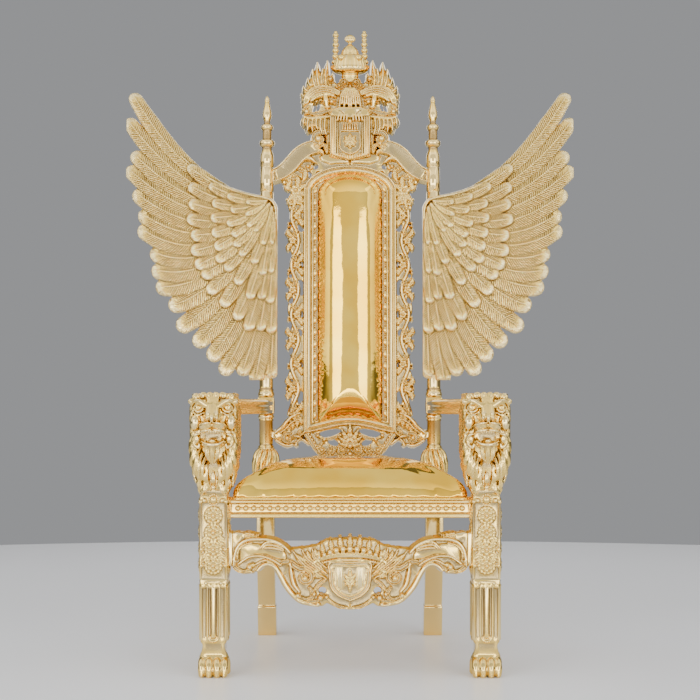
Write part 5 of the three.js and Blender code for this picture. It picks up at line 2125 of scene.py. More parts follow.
    def mane(self, clay: Clay) -> None:
        """Adds the mane in layered locks."""
        rng = np.random.default_rng(SEED)
        clay.box((-36, 4, 500), (36, 104, 640), 20, 6)
        clay.box((-50, 6, 566), (50, self.mane_back + 30, 722), 18, 8)
        for y0, low in ((100, 560), (78, 548), (54, 536), (30, 528), (8, 540)):
            for side in (-1, 1):
                for z in np.arange(low, 716, 19.0):
                    wide = 53 - 10 * max(0.0, (600 - z) / 90) - max(0.0, (z - 700) * 0.4)
                    y = y0 + rng.uniform(-4, 4)
                    drop = rng.uniform(26, 38)
                    path = curve(
                        (
                            (side * (wide - 5), y - 10, z + 12), (side * (wide + 3), y, z),
                            (side * (wide + 5.5), y + 8, z - drop * 0.6),
                            (side * (wide + 2), y + 4, z - drop), (side * (wide + 3), y + 11, z - drop - 6),
                        ),
                        4,
                    )
                    clay.rod(path, (4, 9.5, 9, 6, 1.6), 0.9, out=(side, 0, 0), thick=0.5, ribs=4.2)
        for n in range(9):
            for y in (88, 58, 30):
                x = (n - 4) * 12.4
                path = curve(
                    ((x * 0.95, y - 14, 717), (x, y, 722), (x * 1.03, y + 12, 722), (x * 1.06, y + 20, 716)),
                    4,
                )
                clay.rod(path, (4, 8, 7, 2.2), 0.9, out=(0, 0, 1), thick=0.5, ribs=4.2)
        for side in (-1, 1):
            for x0, x1, z0, z1, r, y in (
                (46, 56, 626, 566, 9, 0), (40, 54, 604, 540, 9.5, -4), (36, 46, 586, 518, 9, -7),
                (30, 38, 570, 508, 8, -8), (22, 28, 560, 504, 7, -6), (14, 17, 548, 510, 6, -3),
            ):
                path = curve(
                    (
                        (side * x0, y + 6, z0), (side * (x0 + x1 + 6) / 2, y - 3, (z0 + z1) / 2 + 6),
                        (side * x1, y, z1 + 8), (side * (x1 - 7), y + 6, z1 - 6),
                    ),
                    5,
                )
                clay.rod(path, (5, r, r * 0.8, 1.8), 0.9, out=(side * 0.45, -0.89, 0), thick=0.6, ribs=4.2)

    def face(self, clay: Clay) -> None:
        """Adds the face."""
        clay.box((-49, -4, 596), (49, 60, 722), 17, 6)
        clay.ball((0, -2, 676), (24, 20, 30), 12)
        for side in (-1, 1):
            clay.rod(((6, -10, 706), (7, -19, 690), (7, -30, 672)), (11, 10, 11), 5, side=side, steps=5)
        for side in (-1, 1):
            # Brow, eye and cheek.
            clay.ball((side * 37, -7, 689), (14.5, 10, 12.5), 2.5, cut=True)
            clay.rod(
                ((7, -19, 701), (18, -19, 697), (30, -17, 704), (43, -12, 707), (55, -3, 698)),
                (5, 7, 6, 5, 4), 2.0, side=side, steps=5,
            )
            clay.rod(((9, -24, 694), (17, -21, 693), (25, -17, 690)), (3.5, 4.8, 3.2), 1.5, side=side)
            clay.ball((side * 37.5, -6, 689), (9.4, 8.6, 8.6), 1.0)
            clay.ball((side * 37.5, -15.4, 689), (3.1, 3.6, 3.1), 0.8, cut=True)
            clay.rod(
                ((25.5, -11, 686), (31, -14.5, 697), (41, -13.5, 699), (50, -6, 690)), (2, 3, 3, 2), 0.9,
                side=side, steps=5,
            )
            clay.rod(
                ((25.5, -11, 685), (32, -13, 679.5), (42, -11, 679), (50, -5, 687)), (2, 2.8, 2.6, 1.8), 0.9,
                side=side, steps=5,
            )
            clay.rod(((26, -10, 676), (37, -10, 670), (50, -4, 676)), (2, 3.2, 2), 1.2, side=side, steps=5)
            clay.ball((side * 45, -5, 651), (13.5, 12, 20), 4)
            clay.rod(
                ((31, -12, 668), (30, -13, 650), (34, -12, 634), (46, -9, 627)), (1.5, 1.8, 2.2, 1.5), 1.2,
                cut=True, side=side, steps=5,
            )
            # Muzzle pad, nostril, fang and jowl.
            clay.ball((side * 15.5, -24, 644), (18.5, 17, 13.5), 3.0, side * -12)
            clay.rod(
                ((3, -37, 651), (14, -42, 650), (27, -34, 645), (32, -24, 638)), (2, 3, 3, 2), 1.5, side=side,
                steps=5,
            )
            clay.rod(
                ((4, -37, 633), (15, -38, 631), (27, -30, 628), (33, -20, 622)), (2.5, 3.6, 3.4, 2.5), 1.2,
                side=side, steps=5,
            )
            clay.ball((side * 9.5, -34, 664), (8.5, 9, 6.5), 2.0, side * -22)
            clay.ball((side * 8.5, -43.5, 661), (3.2, 5, 3.4), 0.8, cut=True)
            for n in range(3):
                clay.ball((side * (13 + n * 6.5), -40.5 + n * 3.4, 641 - n), (1.2, 2, 1.2), 0.5, cut=True)
            clay.ball((side * 42, -7, 609), (10, 10, 13), 3.0)
            clay.rod(
                (
                    (33, -14, 622), (43, -16, 620), (51, -10, 609), (46, -12, 594), (37, -14, 588),
                    (34, -15, 596),
                ),
                (2.5, 3.6, 4, 3.8, 4.2, 2.6), 1.2, side=side, steps=5,
            )
        clay.rod(((0, -38, 668), (0, -42, 664), (0, -41, 656)), (6, 5, 4), 2.5)
        clay.rod(np.array(((0, -42, 656), (0, -40, 634))), (1.2, 1.2), 0.8, cut=True)
        clay.box((-24, -60, 603), (24, -2, 627.5), 7, 2.0, cut=True)
        # Jaw, lip, teeth, tongue and beard.
        clay.ball((0, -14, 596), (29, 19, 14), 4)
        clay.rod(
            ((-27, -16, 604), (-17, -28, 597), (0, -33, 595), (17, -28, 597), (27, -16, 604)),
            (3, 4, 4.6, 4, 3), 1.5, steps=5,
        )
        clay.box((-20, -24, 603), (20, -2, 608), 3, 1.0, cut=True)
        clay.rod(((0, 6, 604), (0, -12, 608), (0, -25, 606)), (11, 10.5, 7), 0.9, out=(0, 0, 1), thick=0.5)
        for side in (-1, 1):
            clay.rod(((22, -25, 630), (21.5, -26, 613)), (3.6, 1.0), 0.5, side=side, steps=1)
            clay.rod(((17.5, -22, 600), (17.5, -23, 615)), (3.2, 1.0), 0.5, side=side, steps=1)
            for x in (3, 8.5, 14):
                clay.rod(
                    ((x, -30 + x * 0.2, 630), (x, -30 + x * 0.2, 624.5)), (2.5, 1.8), 0.4, side=side, steps=1
                )
                clay.rod(
                    ((x, -27 + x * 0.2, 600), (x, -27 + x * 0.2, 605)), (2.4, 1.6), 0.4, side=side, steps=1
                )
            clay.rod(
                ((15, -24, 590), (13, -24, 570), (5, -19, 549)), (6, 5.5, 2), 1.2, out=(0, -1, 0), thick=0.8,
                ribs=4.0, side=side, steps=5,
            )
            # Curls over the brow.
            for x, z, r in ((9, 720, 8), (26, 719, 9.5), (45, 715, 10), (57, 704, 7)):
                turns = volute(x, z, r, 200, -1.25, 0.1)
                path = np.column_stack(
                    (turns[:, 0], -9 - 5 * np.linspace(0, 1, len(turns)) + abs(x) * 0.12, turns[:, 1])
                )
                clay.rod(path, (3.8, 3.6, 3.4, 3.6), 0.8, side=side)
        for n in range(6):
            x = -12.5 + n * 5
            clay.rod(((x, -12, 706), (x * 1.1, -14, 716), (x * 1.2, -6, 725)), (2.2, 2.8, 1.6), 0.6)
        clay.rod(
            ((0, -27, 590), (0, -26, 568), (0, -19, 544)), (9, 7, 2.4), 1.2, out=(0, -1, 0), thick=0.8,
            ribs=4.0, steps=5,
        )

    def build(self) -> None:
        """Models the right leg, then makes the left its mirror image."""
        legs = Clay((-42, -26, -0.4), (42, 80, 500), self.pitch)
        self.foot(legs)
        self.shaft(legs)
        self.block(legs)
        head = Clay((-70, -52, 470.1), (70, self.mane_back + 1.5, 736), self.pitch)
        self.block(head)
        self.mane(head)
        self.face(head)
        back = head.part((-80, self.mane_back, 0), (80, 200, 800), 0)
        head.blend(
            back, np.broadcast_to(self.mane_back - head.axes[1][back[1]][None, :, None], head.d[back].shape),
            0.3, cut=True,
        )
        # The two blocks of samples meet at one height, so that each is closed there.
        cut = legs.axes[2] > self.join
        legs.d[:, :, cut] = np.maximum(legs.d[:, :, cut], (legs.axes[2][cut] - self.join)[None, None, :])
        for name, clay, share in (("leg", legs, 0.42), ("lion", head, 0.5)):
            skin = clay.skin()
            for side, twin in (("right", skin.moved(x=LEG_X)), ("left", skin.moved(x=LEG_X).mirrored())):
                look = Look(Finish.CARVED, share, reach=8, depth=1.2)
                self.shop.made(f"front_leg_{side}_{name}", twin, look, "gilt_carving", f"front_leg_{side}")


@dataclass
class Post:
    """A back post: a sabre leg, a leaf-carved base and a turned shaft with its finial."""

    shop: Workshop
    r: float = 20.5
    half: float = 26.0

    def shaft(self) -> Skin:
        """Returns the turned shaft."""
        r = self.r
        rows: list[tuple[float, float]] = [
            (0.1, 444), (r * 1.1, 445), (r * 1.1, 566), (r + 3, 568), (r + 3, 572), (r - 1, 576), (r, 580),
            (r, 646), (r + 1.4, 648), (r + 1.6, 651), (r + 0.4, 653), (r + 2.4, 655), (r + 4, 660),
            (r + 2.4, 665), (r + 0.4, 667), (r, 669), (r, 715), (r + 1, 717), (r + 3.4, 721), (r + 4.4, 727),
            (r + 3.2, 733), (r + 0.6, 736), (r + 1.8, 738), (r + 1.8, 741), (r - 0.8, 744), (r, 750),
        ]
        for z in (1336, 1411):
            rows += [(r, z - 3), (r - 1.8, z - 1.6), (r - 1.8, z + 1.6), (r, z + 3)]
        rows += [
            (r, 1438), (r * 0.98, 1446), (r * 0.9, 1454), (r * 0.76, 1461), (r * 0.7, 1468), (r * 0.74, 1473),
            (r * 0.9, 1475), (r * 1.08, 1479), (r * 1.15, 1485), (r * 1.08, 1491), (r * 0.86, 1494),
            (r * 0.7, 1496), (r * 0.66, 1500), (r * 0.66, 1520), (r * 0.7, 1525), (r * 0.86, 1528),
            (r * 0.92, 1533), (r * 0.86, 1538), (r * 0.62, 1542), (r * 0.42, 1547), (r * 0.44, 1552),
            (r * 0.58, 1560), (r * 0.69, 1569), (r * 0.64, 1580), (r * 0.48, 1594), (r * 0.36, 1604),
            (r * 0.3, 1608), (r * 0.36, 1612), (r * 0.34, 1618), (r * 0.2, 1626), (0.1, 1631),
        ]
        return spun(np.array(rows, float), 40)

    def base(self) -> Skin:
        """Returns the leaf-carved base."""
        clay = Clay((-42, -42, 450.2), (42, 42, 576), 1.7)
        clay.box((-24, -24, 446), (24, 24, 560), 12)
        clay.box((-37, -37, 446), (37, 37, 468), 4, 2)
        # Twelve plump ribs swirl down from the shaft like a shell.
        for n in range(12):
            turn = n * math.pi / 6
            rows = []
            for r, z in ((21, 563), (27, 556), (32, 543), (34.5, 524), (33, 498), (30, 470)):
                a = turn + (563 - z) * 0.007
                rows.append((r * math.cos(a), r * math.sin(a), z))
            clay.rod(rows, (3, 5.5, 7.5, 8.2, 8, 7.5), 0.8)
        a = np.linspace(0, 2 * math.pi, 33)
        clay.rod(np.column_stack((23 * np.cos(a), 23 * np.sin(a), 0 * a + 566)), (3, 3), 1)
        return clay.skin()

    def leg(self) -> Skin:
        """Returns the sabre leg below the seat."""
        line = curve(
            (
                (534, 586, 451), (534, 586, 380), (536, 586.5, 330), (545, 598, 250), (570, 618, 160),
                (586, 632, 120), (598, 644, 92),
            ),
            6,
        )
        foot = np.array(
            (
                (597, 648, 91.5), (594, 652, 90), (594.5, 653, 86), (598.5, 655.5, 70), (606, 662, 40),
                (613, 669, 12), (616, 672, 3), (618, 670, 0),
            )
        )
        rows = np.vstack((line, foot))
        corner = np.array([(math.cos(t), math.sin(t)) for t in np.linspace(0, math.pi / 2, 4)]) * 3.0
        shape = []
        for sx, sy, turn in ((1, 1, 0), (-1, 1, 1), (-1, -1, 2), (1, -1, 3)):
            for c in corner:
                v = c if turn % 2 == 0 else c[::-1]
                shape.append((sx, sy, v[0] * sx, v[1] * sy))
        points = []
        for near, far, z in rows:
            mid, deep = (near + far) / 2, (far - near) / 2
            wide = self.half + (1.5 if z < 91 else 0.0)
            for sx, sy, ox, oy in shape:
                points.append((sx * (wide - 3) + ox, mid + sy * (deep - 3) + oy, z))
        return Skin(np.array(points, float), rings(len(rows), len(shape)))

    def build(self) -> None:
        """Models the right post, then makes the left its mirror image."""
        upright = self.shaft()
        base = self.base()
        sides = []
        for part in (upright, base):
            skin = part.moved(x=POST_X).leaning()
            sides.append((skin, skin.mirrored()))
        leg = self.leg().moved(x=POST_X)
        sides.append((leg, leg.mirrored()))
        block = Clay((-27, -27, 664), (27, 27, 722), 1.5)
        block.box((-24, -24, 668), (24, 24, 717), 2.2, 0.5)
        for axis in (0, 1):
            for way in (-1, 1):
                low, high = [-15.0, -15.0, 677.0], [15.0, 15.0, 708.0]
                low[axis], high[axis] = sorted((way * 22.8, way * 30.0))
                block.box(low, high, 1.5, 0.6, cut=True)
        skin = block.skin().moved(x=POST_X).leaning()
        sides.append((skin, skin.mirrored()))
        turned = Look(Finish.PLAIN, sealed=True, reach=5, depth=1.2)
        carved = Look(Finish.CARVED, 0.6, reach=5, depth=1.2)
        looks = (turned, carved, turned, Look(Finish.PLAIN, 0.6, reach=5, depth=1.2))
        for side in (0, 1):
            node = f"back_post_{'left' if side else 'right'}"
            for name, pair, look in zip(("shaft", "leaves", "foot", "block"), sides, looks):
                slot = "gilt_carving" if name == "leaves" else "gilt_frame"
                self.shop.made(f"{node}_{name}", pair[side], look, slot, node)


@dataclass
class Rails:
    """The arms and the seat rails."""

    shop: Workshop
    side_beads: int = 22
    front_beads: int = 29
    front_bead_pitch: float = 20.7

    def sheared(self, name: str, section: Array, ends: Sequence[Sequence[float]], slot: str) -> None:
        """Makes a straight rail on both sides.

        Args:
            name: the piece's name.
            section: its outline across and up, about its middle line.
            ends: where its middle line starts and ends.
            slot: its material slot.
        """
        path = np.linspace(ends[0], ends[1], 9)
        skin = sweep(section, path, (1, 0, 0), (0, 0, 1))
        for side, twin in (("right", skin), ("left", skin.mirrored())):
            look = Look(Finish.PLAIN, sealed=True, soft=1.2, reach=4, depth=1.4)
            self.shop.made(f"{name}_{side}_moulded", twin, look, slot, f"{name}_{side}")

    def arms(self) -> None:
        """Makes the arms."""
        right = curve(
            (
                (0, 669), (17, 669.4), (20.5, 671), (22, 675), (21, 680), (18.6, 684), (18.4, 689), (20, 692),
                (22.6, 697), (22.8, 702), (20.5, 707), (15, 710.6), (8, 712.6), (0, 713),
            ),
            2,
        )
        section = np.vstack((right, right[-2:0:-1] * (-1, 1))) - (0, 691)
        self.sheared("arm", section, ((350, 112.4, 691), (250, 537.0, 691)), "gilt_frame")

    def side_rails(self) -> None:
        """Makes the side seat rails."""
        section = np.array(
            (
                (-14, 405), (10, 405), (12.5, 406), (14, 409), (14, 415), (12, 418), (10.5, 420), (10.5, 436),
                (12, 438), (14, 440), (14, 446), (12.5, 449.6), (10, 451), (-14, 451),
            ),
            float,
        ) - (0, 428)
        start, end = np.array((322.0, 74.4, 428.0)), np.array((254.0, 533.6, 428.0))
        self.sheared("seat_rail_side", section, (start, end), "gilt_frame")
        t = (np.arange(self.side_beads) + 0.5) / self.side_beads
        points = start + (end - start) * t[:, None] + (11.4, 0, 0)
        for side, way in (("left", -1), ("right", 1)):
            beads = Repeat(self.shop, f"side_rail_beads_{side}", Finish.CARVED)
            piece = beads.balls(points * (way, 1, 1), [5.6] * self.side_beads)
            self.shop.ready(piece, "gilt_frame", f"seat_rail_side_{side}")

    def front_rail(self) -> None:
        """Makes the beaded front seat rail."""
        edge = curve(
            (
                (27, 405), (25.6, 406), (25, 409), (25.6, 413), (28, 416), (34.6, 417.4), (35.6, 420),
                (35.6, 438), (34.6, 440), (27, 442), (25.2, 444), (25.2, 448), (27, 450.6), (31, 451),
            ),
            2,
        )
        section = np.vstack((edge, ((53, 451), (53, 405))))
        half = 313.6
        path = np.column_stack((np.linspace(-half, half, 21), np.zeros(21), np.zeros(21)))
        skin = sweep(section, path, (0, 1, 0), (0, 0, 1))
        look = Look(Finish.PLAIN, sealed=True, soft=0.8, reach=10, depth=1.8)
        self.shop.made("seat_rail_front_moulded", skin, look, "gilt_frame", "seat_rail_front")
        count, pitch = self.front_beads, self.front_bead_pitch
        xs = (np.arange(count) - (count - 1) / 2) * pitch
        points = [(x, 30.0, 429.0) for x in xs]
        points += [(x + pitch / 2 + gap, 30.6, 429.0) for x in xs[:-1] for gap in (-1.9, 1.9)]
        radii = [7.6] * count + [3.6] * (2 * (count - 1))
        piece = Repeat(self.shop, "seat_rail_beads", Finish.CARVED).balls(np.array(points), radii)
        self.shop.ready(piece, "gilt_frame", "seat_rail_front")

    def back_rail(self) -> None:
        """Makes the plain back seat rail."""
        outline = np.array(((542, 405), (572, 405), (572, 451), (542, 451)), float)
        path = np.column_stack((np.linspace(-223.2, 223.2, 5), np.zeros(5), np.zeros(5)))
        skin = sweep(outline, path, (0, 1, 0), (0, 0, 1))
        look = Look(Finish.PLAIN, sealed=True, soft=2.5, reach=4, depth=1.4)
        self.shop.made("seat_rail_back_plain", skin, look, "gilt_frame", "seat_rail_back")

    def build(self) -> None:
        """Makes every rail."""
        self.arms()
        self.side_rails()
        self.front_rail()
        self.back_rail()


@dataclass
class Upholstery:
    """The seat, the inside back and the outside back: foam under mirror-bright vinyl, nailed and edged."""

    shop: Workshop
    frame: BackFrame
    seat_base: float = 451.6
    seat_rise: float = 95.0
    seat_front: float = 22.0
    seat_back: float = 510.0
    seat_front_half: float = 309.0
    seat_back_half: float = 244.0
    gather: float = 39.0

    @staticmethod
    def pressed(
        piece: bpy.types.Object, held: Array, cap: float, pressure: float = 4.0, slack: float = 0.0
    ) -> None:
        """Blows a closed cover up over its foam with Blender's cloth, and applies the result.

        Args:
            piece: the cover.
            held: how firmly each point is nailed down, from 0 to 1.
            cap: the farthest that a point may move, in mm.
            pressure: the pressure inside.
            slack: how much larger than its foam the cover is cut, as a share.
        """
        mesh = piece.data
        before = numbers(mesh.vertices, "co")
        group = piece.vertex_groups.new(name="nailed")
        for weight in np.unique(np.round(held, 1)):
            if weight > 0:
                group.add(np.flatnonzero(np.round(held, 1) == weight).tolist(), float(weight), "REPLACE")
        cloth = piece.modifiers.new("cover", "CLOTH")
        rules = cloth.settings
        rules.quality, rules.mass, rules.air_damping = 6, 0.35, 2.0
        rules.tension_stiffness = rules.compression_stiffness = 25.0
        rules.shear_stiffness, rules.bending_stiffness = 10.0, 0.6
        rules.use_pressure, rules.uniform_pressure_force = True, pressure
        rules.vertex_group_mass = group.name
        rules.shrink_min = -slack
        rules.effector_weights.gravity = 0.0
        cloth.collision_settings.use_collision = False
        scene = bpy.context.scene
        for frame in range(1, CLOTH_FRAMES + 1):
            scene.frame_set(frame)
        graph = bpy.context.evaluated_depsgraph_get()
        after = numbers(piece.evaluated_get(graph).data.vertices, "co")
        piece.modifiers.clear()
        piece.vertex_groups.clear()
        scene.frame_set(1)
        move = after - before
        far = np.linalg.norm(move, axis=1)[:, None]
        LOG.info(
            "%s: the cover moved %.1f mm on average and %.1f mm at most", piece.name, far.mean() / MM,
            far.max() / MM,
        )
        soft = cap * MM * np.tanh(far / (cap * MM))
        mesh.vertices.foreach_set(
            "co", (before + move * soft / np.maximum(far, 1e-9)).astype(np.float32).ravel()
        )
        mesh.update()

    def eased(self, piece: bpy.types.Object, rounds: int, factor: float = 0.5) -> None:
        """Evens a cover out and doubles its mesh."""
        if rounds:
            modifier = piece.modifiers.new("even", "SMOOTH")
            modifier.factor, modifier.iterations = factor, rounds
        modifier = piece.modifiers.new("fine", "SUBSURF")
        modifier.levels = modifier.render_levels = 1
        self.shop.baked(piece)
        piece.data.shade_smooth()

    def seat_outline(self) -> Path:
        """Returns the seat's outline over x and y, with rounded corners."""
        front, back, r = self.seat_front, self.seat_back, 26.0
        rows = []
        for x, y, start in (
            (self.seat_front_half, front, -90), (self.seat_back_half, back, 0),
            (-self.seat_back_half, back, 90), (-self.seat_front_half, front, 180),
        ):
            centre = (x - math.copysign(r, x), y + (r if y == front else -r))
            rows.append(arc(*centre, r, r, start, start + 90, 5))
        return np.vstack(rows)

    def seat(self) -> None:
        """Makes the seat cushion."""
        pitch = 8.0
        x, y = np.arange(-318, 319, pitch), np.arange(10, 522, pitch)
        z = np.arange(self.seat_base - 12.0, self.seat_base + 106, pitch)
        deep = inside_of(self.seat_outline(), x[:, None], y[None, :])
        share = np.maximum(1 - deep / 172.0, 0)
        # The middle of a mirror-flat seat is still a little crowned.
        crown = self.seat_rise * (1 - 0.1 * (x[:, None] / 309) ** 2 - 0.08 * ((y[None, :] - 250) / 250) ** 2)
        up = (z[None, None, :] - self.seat_base) / crown[:, :, None]
        field_ = (share[:, :, None] ** 2.5 + np.maximum(up, 0) ** 2.5) ** 0.4 - 1
        field_ = np.maximum(field_ * 60, (self.seat_base - z)[None, None, :])
        skin = nets(field_, (x[0], y[0], z[0]), pitch)
        seat = self.shop.mesh("seat_cushion_cover", skin, Finish.VINYL)
        low = skin.points[:, 2] - self.seat_base
        self.pressed(seat, np.clip(1 - (low - 1.0) / 5.0, 0, 1), 9.0)
        self.eased(seat, 6)
        self.gathered(seat)
        self.shop.hollows(seat, 6, 1.5)
        self.shop.ready(seat, "gold_upholstery", "seat_cushion")
        self.trim()

    def gathered(self, seat: bpy.types.Object) -> None:
        """Pulls the cover in where it is nailed under the welt, so that it puckers."""
        mesh = seat.data
        points = numbers(mesh.vertices, "co").astype(float)
        x, y, z = points[:, 0] / MM, (points[:, 1] - self.shop.shift) / MM, points[:, 2] / MM
        run = np.where(y < self.seat_front + 40, x, y + 14 * np.sign(x))
        rng = np.random.default_rng(SEED)
        drift = np.interp(run, np.arange(-330, 600, 30), rng.uniform(-7, 7, 31))
        wave = (0.5 + 0.5 * np.cos((run + drift) * 2 * math.pi / self.gather)) ** 3
        wave = wave + 0.35 * (0.5 + 0.5 * np.cos((run * 1.7 + drift * 2) * 2 * math.pi / self.gather)) ** 4
        low = np.exp(-np.maximum(z - self.seat_base, 0) / 9.0) * np.clip((z - self.seat_base) / 3.0, 0, 1)
        middle = np.array((0.0, 250.0))
        inwards = np.column_stack((middle[0] - x, middle[1] - y))
        inwards = inwards / np.maximum(np.abs(inwards).max(1), 1)[:, None]
        pull = (wave * low * 4.6)[:, None] * inwards * MM
        points[:, :2] += pull
        mesh.vertices.foreach_set("co", points.astype(np.float32).ravel())
        mesh.update()

    def trim(self) -> None:
        """Makes the welt round the seat and the small ties that hold it."""
        outline = self.seat_outline()
        keep = outline[:, 1] < self.seat_back - 40
        ring = np.vstack((outline[keep][-6:], outline[keep][:6]))
        start, end = (-247.0, 500.0), (247.0, 500.0)
        path = np.vstack((start, ring, end))
        at = np.concatenate(((0.0,), np.cumsum(np.linalg.norm(np.diff(path, axis=0), axis=1))))
        along = np.linspace(0, at[-1], 320)
        line = np.column_stack(
            (np.interp(along, at, path[:, 0]), np.interp(along, at, path[:, 1]), np.full(320, 454.6))
        )
        run = np.gradient(line, axis=0)
        run /= np.linalg.norm(run, axis=1)[:, None]
        out = np.column_stack((run[:, 1], -run[:, 0], run[:, 2]))
        a = np.linspace(0, 2 * math.pi, 9)[:-1]
        section = np.column_stack((np.cos(a), np.sin(a))) * 3.4
        welt = self.shop.mesh("seat_welt", sweep(section, line - out * 0.5, out, (0, 0, 1)), Finish.VINYL)
        closed(welt)
        self.shop.hollows(welt, 2, 1.0)
        self.shop.ready(welt, "gold_upholstery", "seat_cushion")
        rail = sweep(section * (1.0, 0.55) + (0, -2.4), line + out * 0.8, out, (0, 0, 1))
        look = Look(Finish.PLAIN, sealed=True, reach=2, depth=1.0)
        self.shop.made("seat_braid", rail, look, "gold_upholstery", "seat_cushion")
        places = np.arange(self.gather / 2, at[-1], self.gather)
        spots = np.column_stack([np.interp(places, along, (line + out * 3.2)[:, n]) for n in range(3)])
        lean = np.column_stack([np.interp(places, along, (run * 0.7)[:, n]) for n in range(3)]) + (0, 0, 0.7)
        ties = Repeat(self.shop, "seat_ties", Finish.PLAIN).laid(
            spots, np.full(len(spots), 1.7), np.full(len(spots), 5.2), lean
        )
        self.shop.ready(ties, "gold_upholstery", "seat_cushion")

    def cover(
        self, name: str, forwards: float, forms: Sequence[tuple[float, float, float, float, float]]
    ) -> tuple[bpy.types.Object, Skin]:
        """Makes a pad that fills the arch.

        Args:
            name: the piece's name.
            forwards: 1 if it faces forwards, -1 if it faces backwards.
            forms: for each layer, its inset, its run-up, its start, its rise and its roundness, in mm.

        Returns:
            The piece and its skin.
        """
        pitch = 5.0
        outline = self.frame.arch(self.frame.opening + 0.8, 48)
        x, z = np.arange(-107.5, 108, pitch), np.arange(626, 1408, pitch)
        y = np.arange(-8.0, 82.0, pitch)
        deep = inside_of(outline, x[:, None], z[None, :])[:, None, :]
        body = np.full((len(x), len(y), len(z)), 60.0)
        for inset, run, start, rise, power in forms:
            share = np.maximum(1 - (deep - inset) / run, 0)
            up = np.maximum((y[None, :, None] - start) / rise, 0)
            form = ((share**power + up**power) ** (1 / power) - 1) * min(run, rise)
            body = np.minimum(body, form)
        body = np.maximum(body, -y[None, :, None])
        skin = nets(body, (x[0], y[0], z[0]), pitch)
        if forwards > 0:
            skin = Skin(skin.points * (1, -1, 1), skin.faces[:, ::-1])
        piece = self.shop.mesh(name, skin.leaning(), Finish.VINYL)
        return piece, skin

    def inside_back(self) -> None:
        """Makes the inside back: a puckered wall round a tall, rounded face."""
        piece, skin = self.cover(
            "back_cushion_cover", 1, ((0.0, 21.0, -2.0, 33.0, 2.0), (15.0, 83.0, 15.0, 46.0, 2.05))
        )
        self.pressed(piece, np.clip(1 - (-skin.points[:, 1] - 1.0) / 6.0, 0, 1), 3.0, 1.6)
        self.eased(piece, 4)
        self.puckered(piece)
        self.shop.hollows(piece, 5, 1.5)
        self.shop.ready(piece, "gold_upholstery", "back_cushion")
        beads = Repeat(self.shop, "back_beading", Finish.CARVED).strand(
            self.loop(33.2, -13.0), 35.6, 6.3, 12.4, 4.8
        )
        self.shop.ready(beads, "gilt_carving", "back_frame")

    def loop(self, inset: float, y: float) -> Array:
        """Returns the leaning line at y that follows the arch, moved in by inset."""
        arch = self.frame.arch(inset, 60)
        arch = np.vstack((arch, arch[:1]))
        return Skin.of(np.column_stack((arch[:, 0], np.full(len(arch), y), arch[:, 1]))).leaning().points

    def puckered(self, piece: bpy.types.Object) -> None:
        """Folds the wall of the inside back, where the vinyl is pulled round tight curves."""
        mesh = piece.data
        points = numbers(mesh.vertices, "co").astype(float)
        normals = numbers(mesh.vertex_normals, "vector")
        x, z = points[:, 0] / MM, points[:, 2] / MM
        deep = inside_of(self.frame.arch(self.frame.opening + 0.8, 48), x, z)
        run = np.where(z < 1290, z, 1290 + 118 * np.arctan2(z - 1290, np.maximum(np.abs(x), 1)))
        run = np.where(z < 672, z + np.abs(x) * 0.9, run) + 400 * (x < 0)
        rng = np.random.default_rng(SEED)
        knots = np.arange(500, 2000, 19.0)
        drift = np.interp(run, knots, rng.uniform(-5, 5, len(knots)))
        size = np.interp(run, knots, rng.uniform(0.35, 1.0, len(knots)))
        fold = np.sin((run + drift) * 2 * math.pi / 15.5) + 0.5 * np.sin(
            (run * 0.6 - drift) * 2 * math.pi / 12.0
        )
        rim = np.exp(-(((deep - 9.0) / 6.0) ** 2))
        points += normals * (fold * size * rim * 1.15 * MM)[:, None]
        mesh.vertices.foreach_set("co", points.astype(np.float32).ravel())
        mesh.update()

    def outside_back(self) -> None:
        """Makes the outside back and the nails round it."""
        piece, skin = self.cover("back_panel_cover", -1, ((0.0, 42.0, 0.0, 17.0, 2.2),))
        self.pressed(piece, np.clip(1 - (skin.points[:, 1] - 1.0) / 4.0, 0, 1), 2.5, 1.5)
        self.eased(piece, 3)
        self.shop.hollows(piece, 5, 1.5)
        self.shop.ready(piece, "gold_upholstery", "back_panel")
        path = self.loop(self.frame.opening - 6.5, 9.0)
        nails = Repeat(self.shop, "outside_back_nails", Finish.PLAIN).strand(path, 19.0, 5.4, 5.4, 0.0)
        self.shop.ready(nails, "gilt_carving", "back_panel")

    def build(self) -> None:
        """Makes all the upholstery."""
        self.seat()
        self.inside_back()
        self.outside_back()


def main() -> None:
    """Builds the throne piece by piece, then the studio."""
    logging.basicConfig(level=logging.INFO, format="%(message)s")
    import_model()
    shop = Workshop()
    frame = BackFrame(shop)
    frame.build()
    Upholstery(shop, frame).build()
    Crest(shop).build()
    Stretcher(shop).build()
    Wing(shop).build()
    Leg(shop).build()
    Post(shop).build()
    Rails(shop).build()
    Room().build()


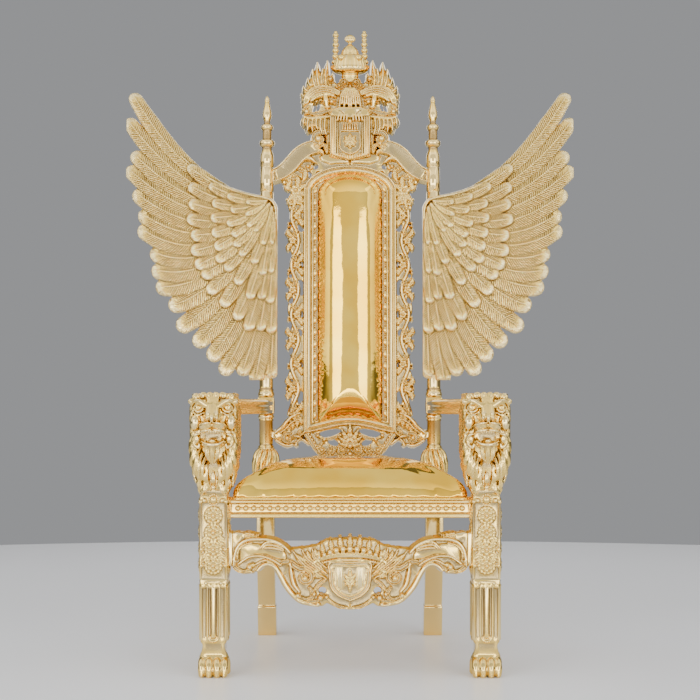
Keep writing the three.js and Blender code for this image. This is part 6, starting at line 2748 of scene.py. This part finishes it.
@dataclass
class Room:
    """The pale floor, the soft lights and the camera."""

    floor_radius: float = 7.0
    floor_reach: float = 3.1
    camera_back: float = 3.767
    camera_up: float = 0.701
    lens: float = 69.3
    shift: float = 0.0757

    def floor(self) -> None:
        """Lays a round pale floor."""
        mesh = bpy.data.meshes.new("floor")
        work = bmesh.new()
        bmesh.ops.create_circle(work, cap_ends=True, segments=128, radius=self.floor_radius)
        bmesh.ops.translate(work, verts=work.verts, vec=(0, self.floor_reach - self.floor_radius, 0))
        work.to_mesh(mesh)
        work.free()
        mesh.materials.append(Finish.FLOOR.material())
        floor = bpy.data.objects.new("floor", mesh)
        bpy.context.scene.collection.objects.link(floor)

    @staticmethod
    def light(
        name: str, place: Sequence[float], aim: Sequence[float], size: tuple[float, float], power: float,
        warmth: float = 0.0,
    ) -> None:
        """Hangs a soft rectangular light.

        Args:
            name: the light's name.
            place: where it hangs.
            aim: the point it faces.
            size: its width and height in metres.
            power: its power in watts.
            warmth: how much blue is taken out.
        """
        data = bpy.data.lights.new(name, "AREA")
        data.shape = "RECTANGLE"
        data.size, data.size_y = size
        data.energy = power
        data.color = (1.0, 1.0 - warmth * 0.4, 1.0 - warmth)
        lamp = bpy.data.objects.new(name, data)
        lamp.location = place
        lamp.rotation_euler = (Vector(aim) - Vector(place)).to_track_quat("-Z", "Y").to_euler()
        bpy.context.scene.collection.objects.link(lamp)

    @staticmethod
    def surroundings() -> None:
        """Makes the room's own light: grey behind the throne, dim sides and a bright side facing it."""
        world = bpy.data.worlds.new("studio")
        world.use_nodes = True
        tree = world.node_tree
        place, split, total = (
            tree.nodes.new(kind) for kind in ("ShaderNodeTexCoord", "ShaderNodeSeparateXYZ", "ShaderNodeMath")
        )
        tree.links.new(place.outputs["Generated"], split.inputs[0])
        for n, (axis, start, end, low, high) in enumerate(
            (("Y", -0.1, -0.95, 0.26, 1.9), ("Y", 0.4, 0.85, 0.0, 0.24))
        ):
            ramp = tree.nodes.new("ShaderNodeMapRange")
            ramp.interpolation_type = "SMOOTHSTEP"
            for name, value in (("From Min", start), ("From Max", end), ("To Min", low), ("To Max", high)):
                ramp.inputs[name].default_value = value
            tree.links.new(split.outputs[axis], ramp.inputs["Value"])
            tree.links.new(ramp.outputs["Result"], total.inputs[n])
        shade = tree.nodes["Background"]
        shade.inputs["Color"].default_value = (0.62, 0.63, 0.65, 1.0)
        tree.links.new(total.outputs["Value"], shade.inputs["Strength"])
        bpy.context.scene.world = world

    def build(self) -> None:
        """Makes the whole studio."""
        self.floor()
        self.surroundings()
        self.light("left strip", (-2.25, -3.4, 1.25), (0, 0, 1.0), (1.7, 2.2), 54)
        self.light("right strip", (2.25, -3.4, 1.25), (0, 0, 1.0), (1.7, 2.2), 47)
        self.light("front card", (0, -5.6, 0.25), (0, 0, 0.5), (5.0, 0.9), 84)
        self.light("top", (0, -0.6, 3.9), (0, 0.1, 0.6), (5.0, 4.0), 60)
        self.light("left wall", (-3.3, -0.6, 2.9), (0, 0, 0.6), (3.4, 4.0), 68)
        self.light("right wall", (3.3, -0.6, 2.9), (0, 0, 0.6), (3.4, 4.0), 56)
        self.light("rim", (0, 3.4, 2.4), (0, 0, 1.0), (3.0, 1.6), 26)
        data = bpy.data.cameras.new("camera")
        data.lens, data.sensor_width, data.shift_y = self.lens, 36.0, self.shift
        camera = bpy.data.objects.new("camera", data)
        camera.location = (0, -self.camera_back, self.camera_up)
        camera.rotation_euler = (math.pi / 2, 0, 0)
        bpy.context.scene.collection.objects.link(camera)
        bpy.context.scene.camera = camera


if __name__ == "__main__":
    main()
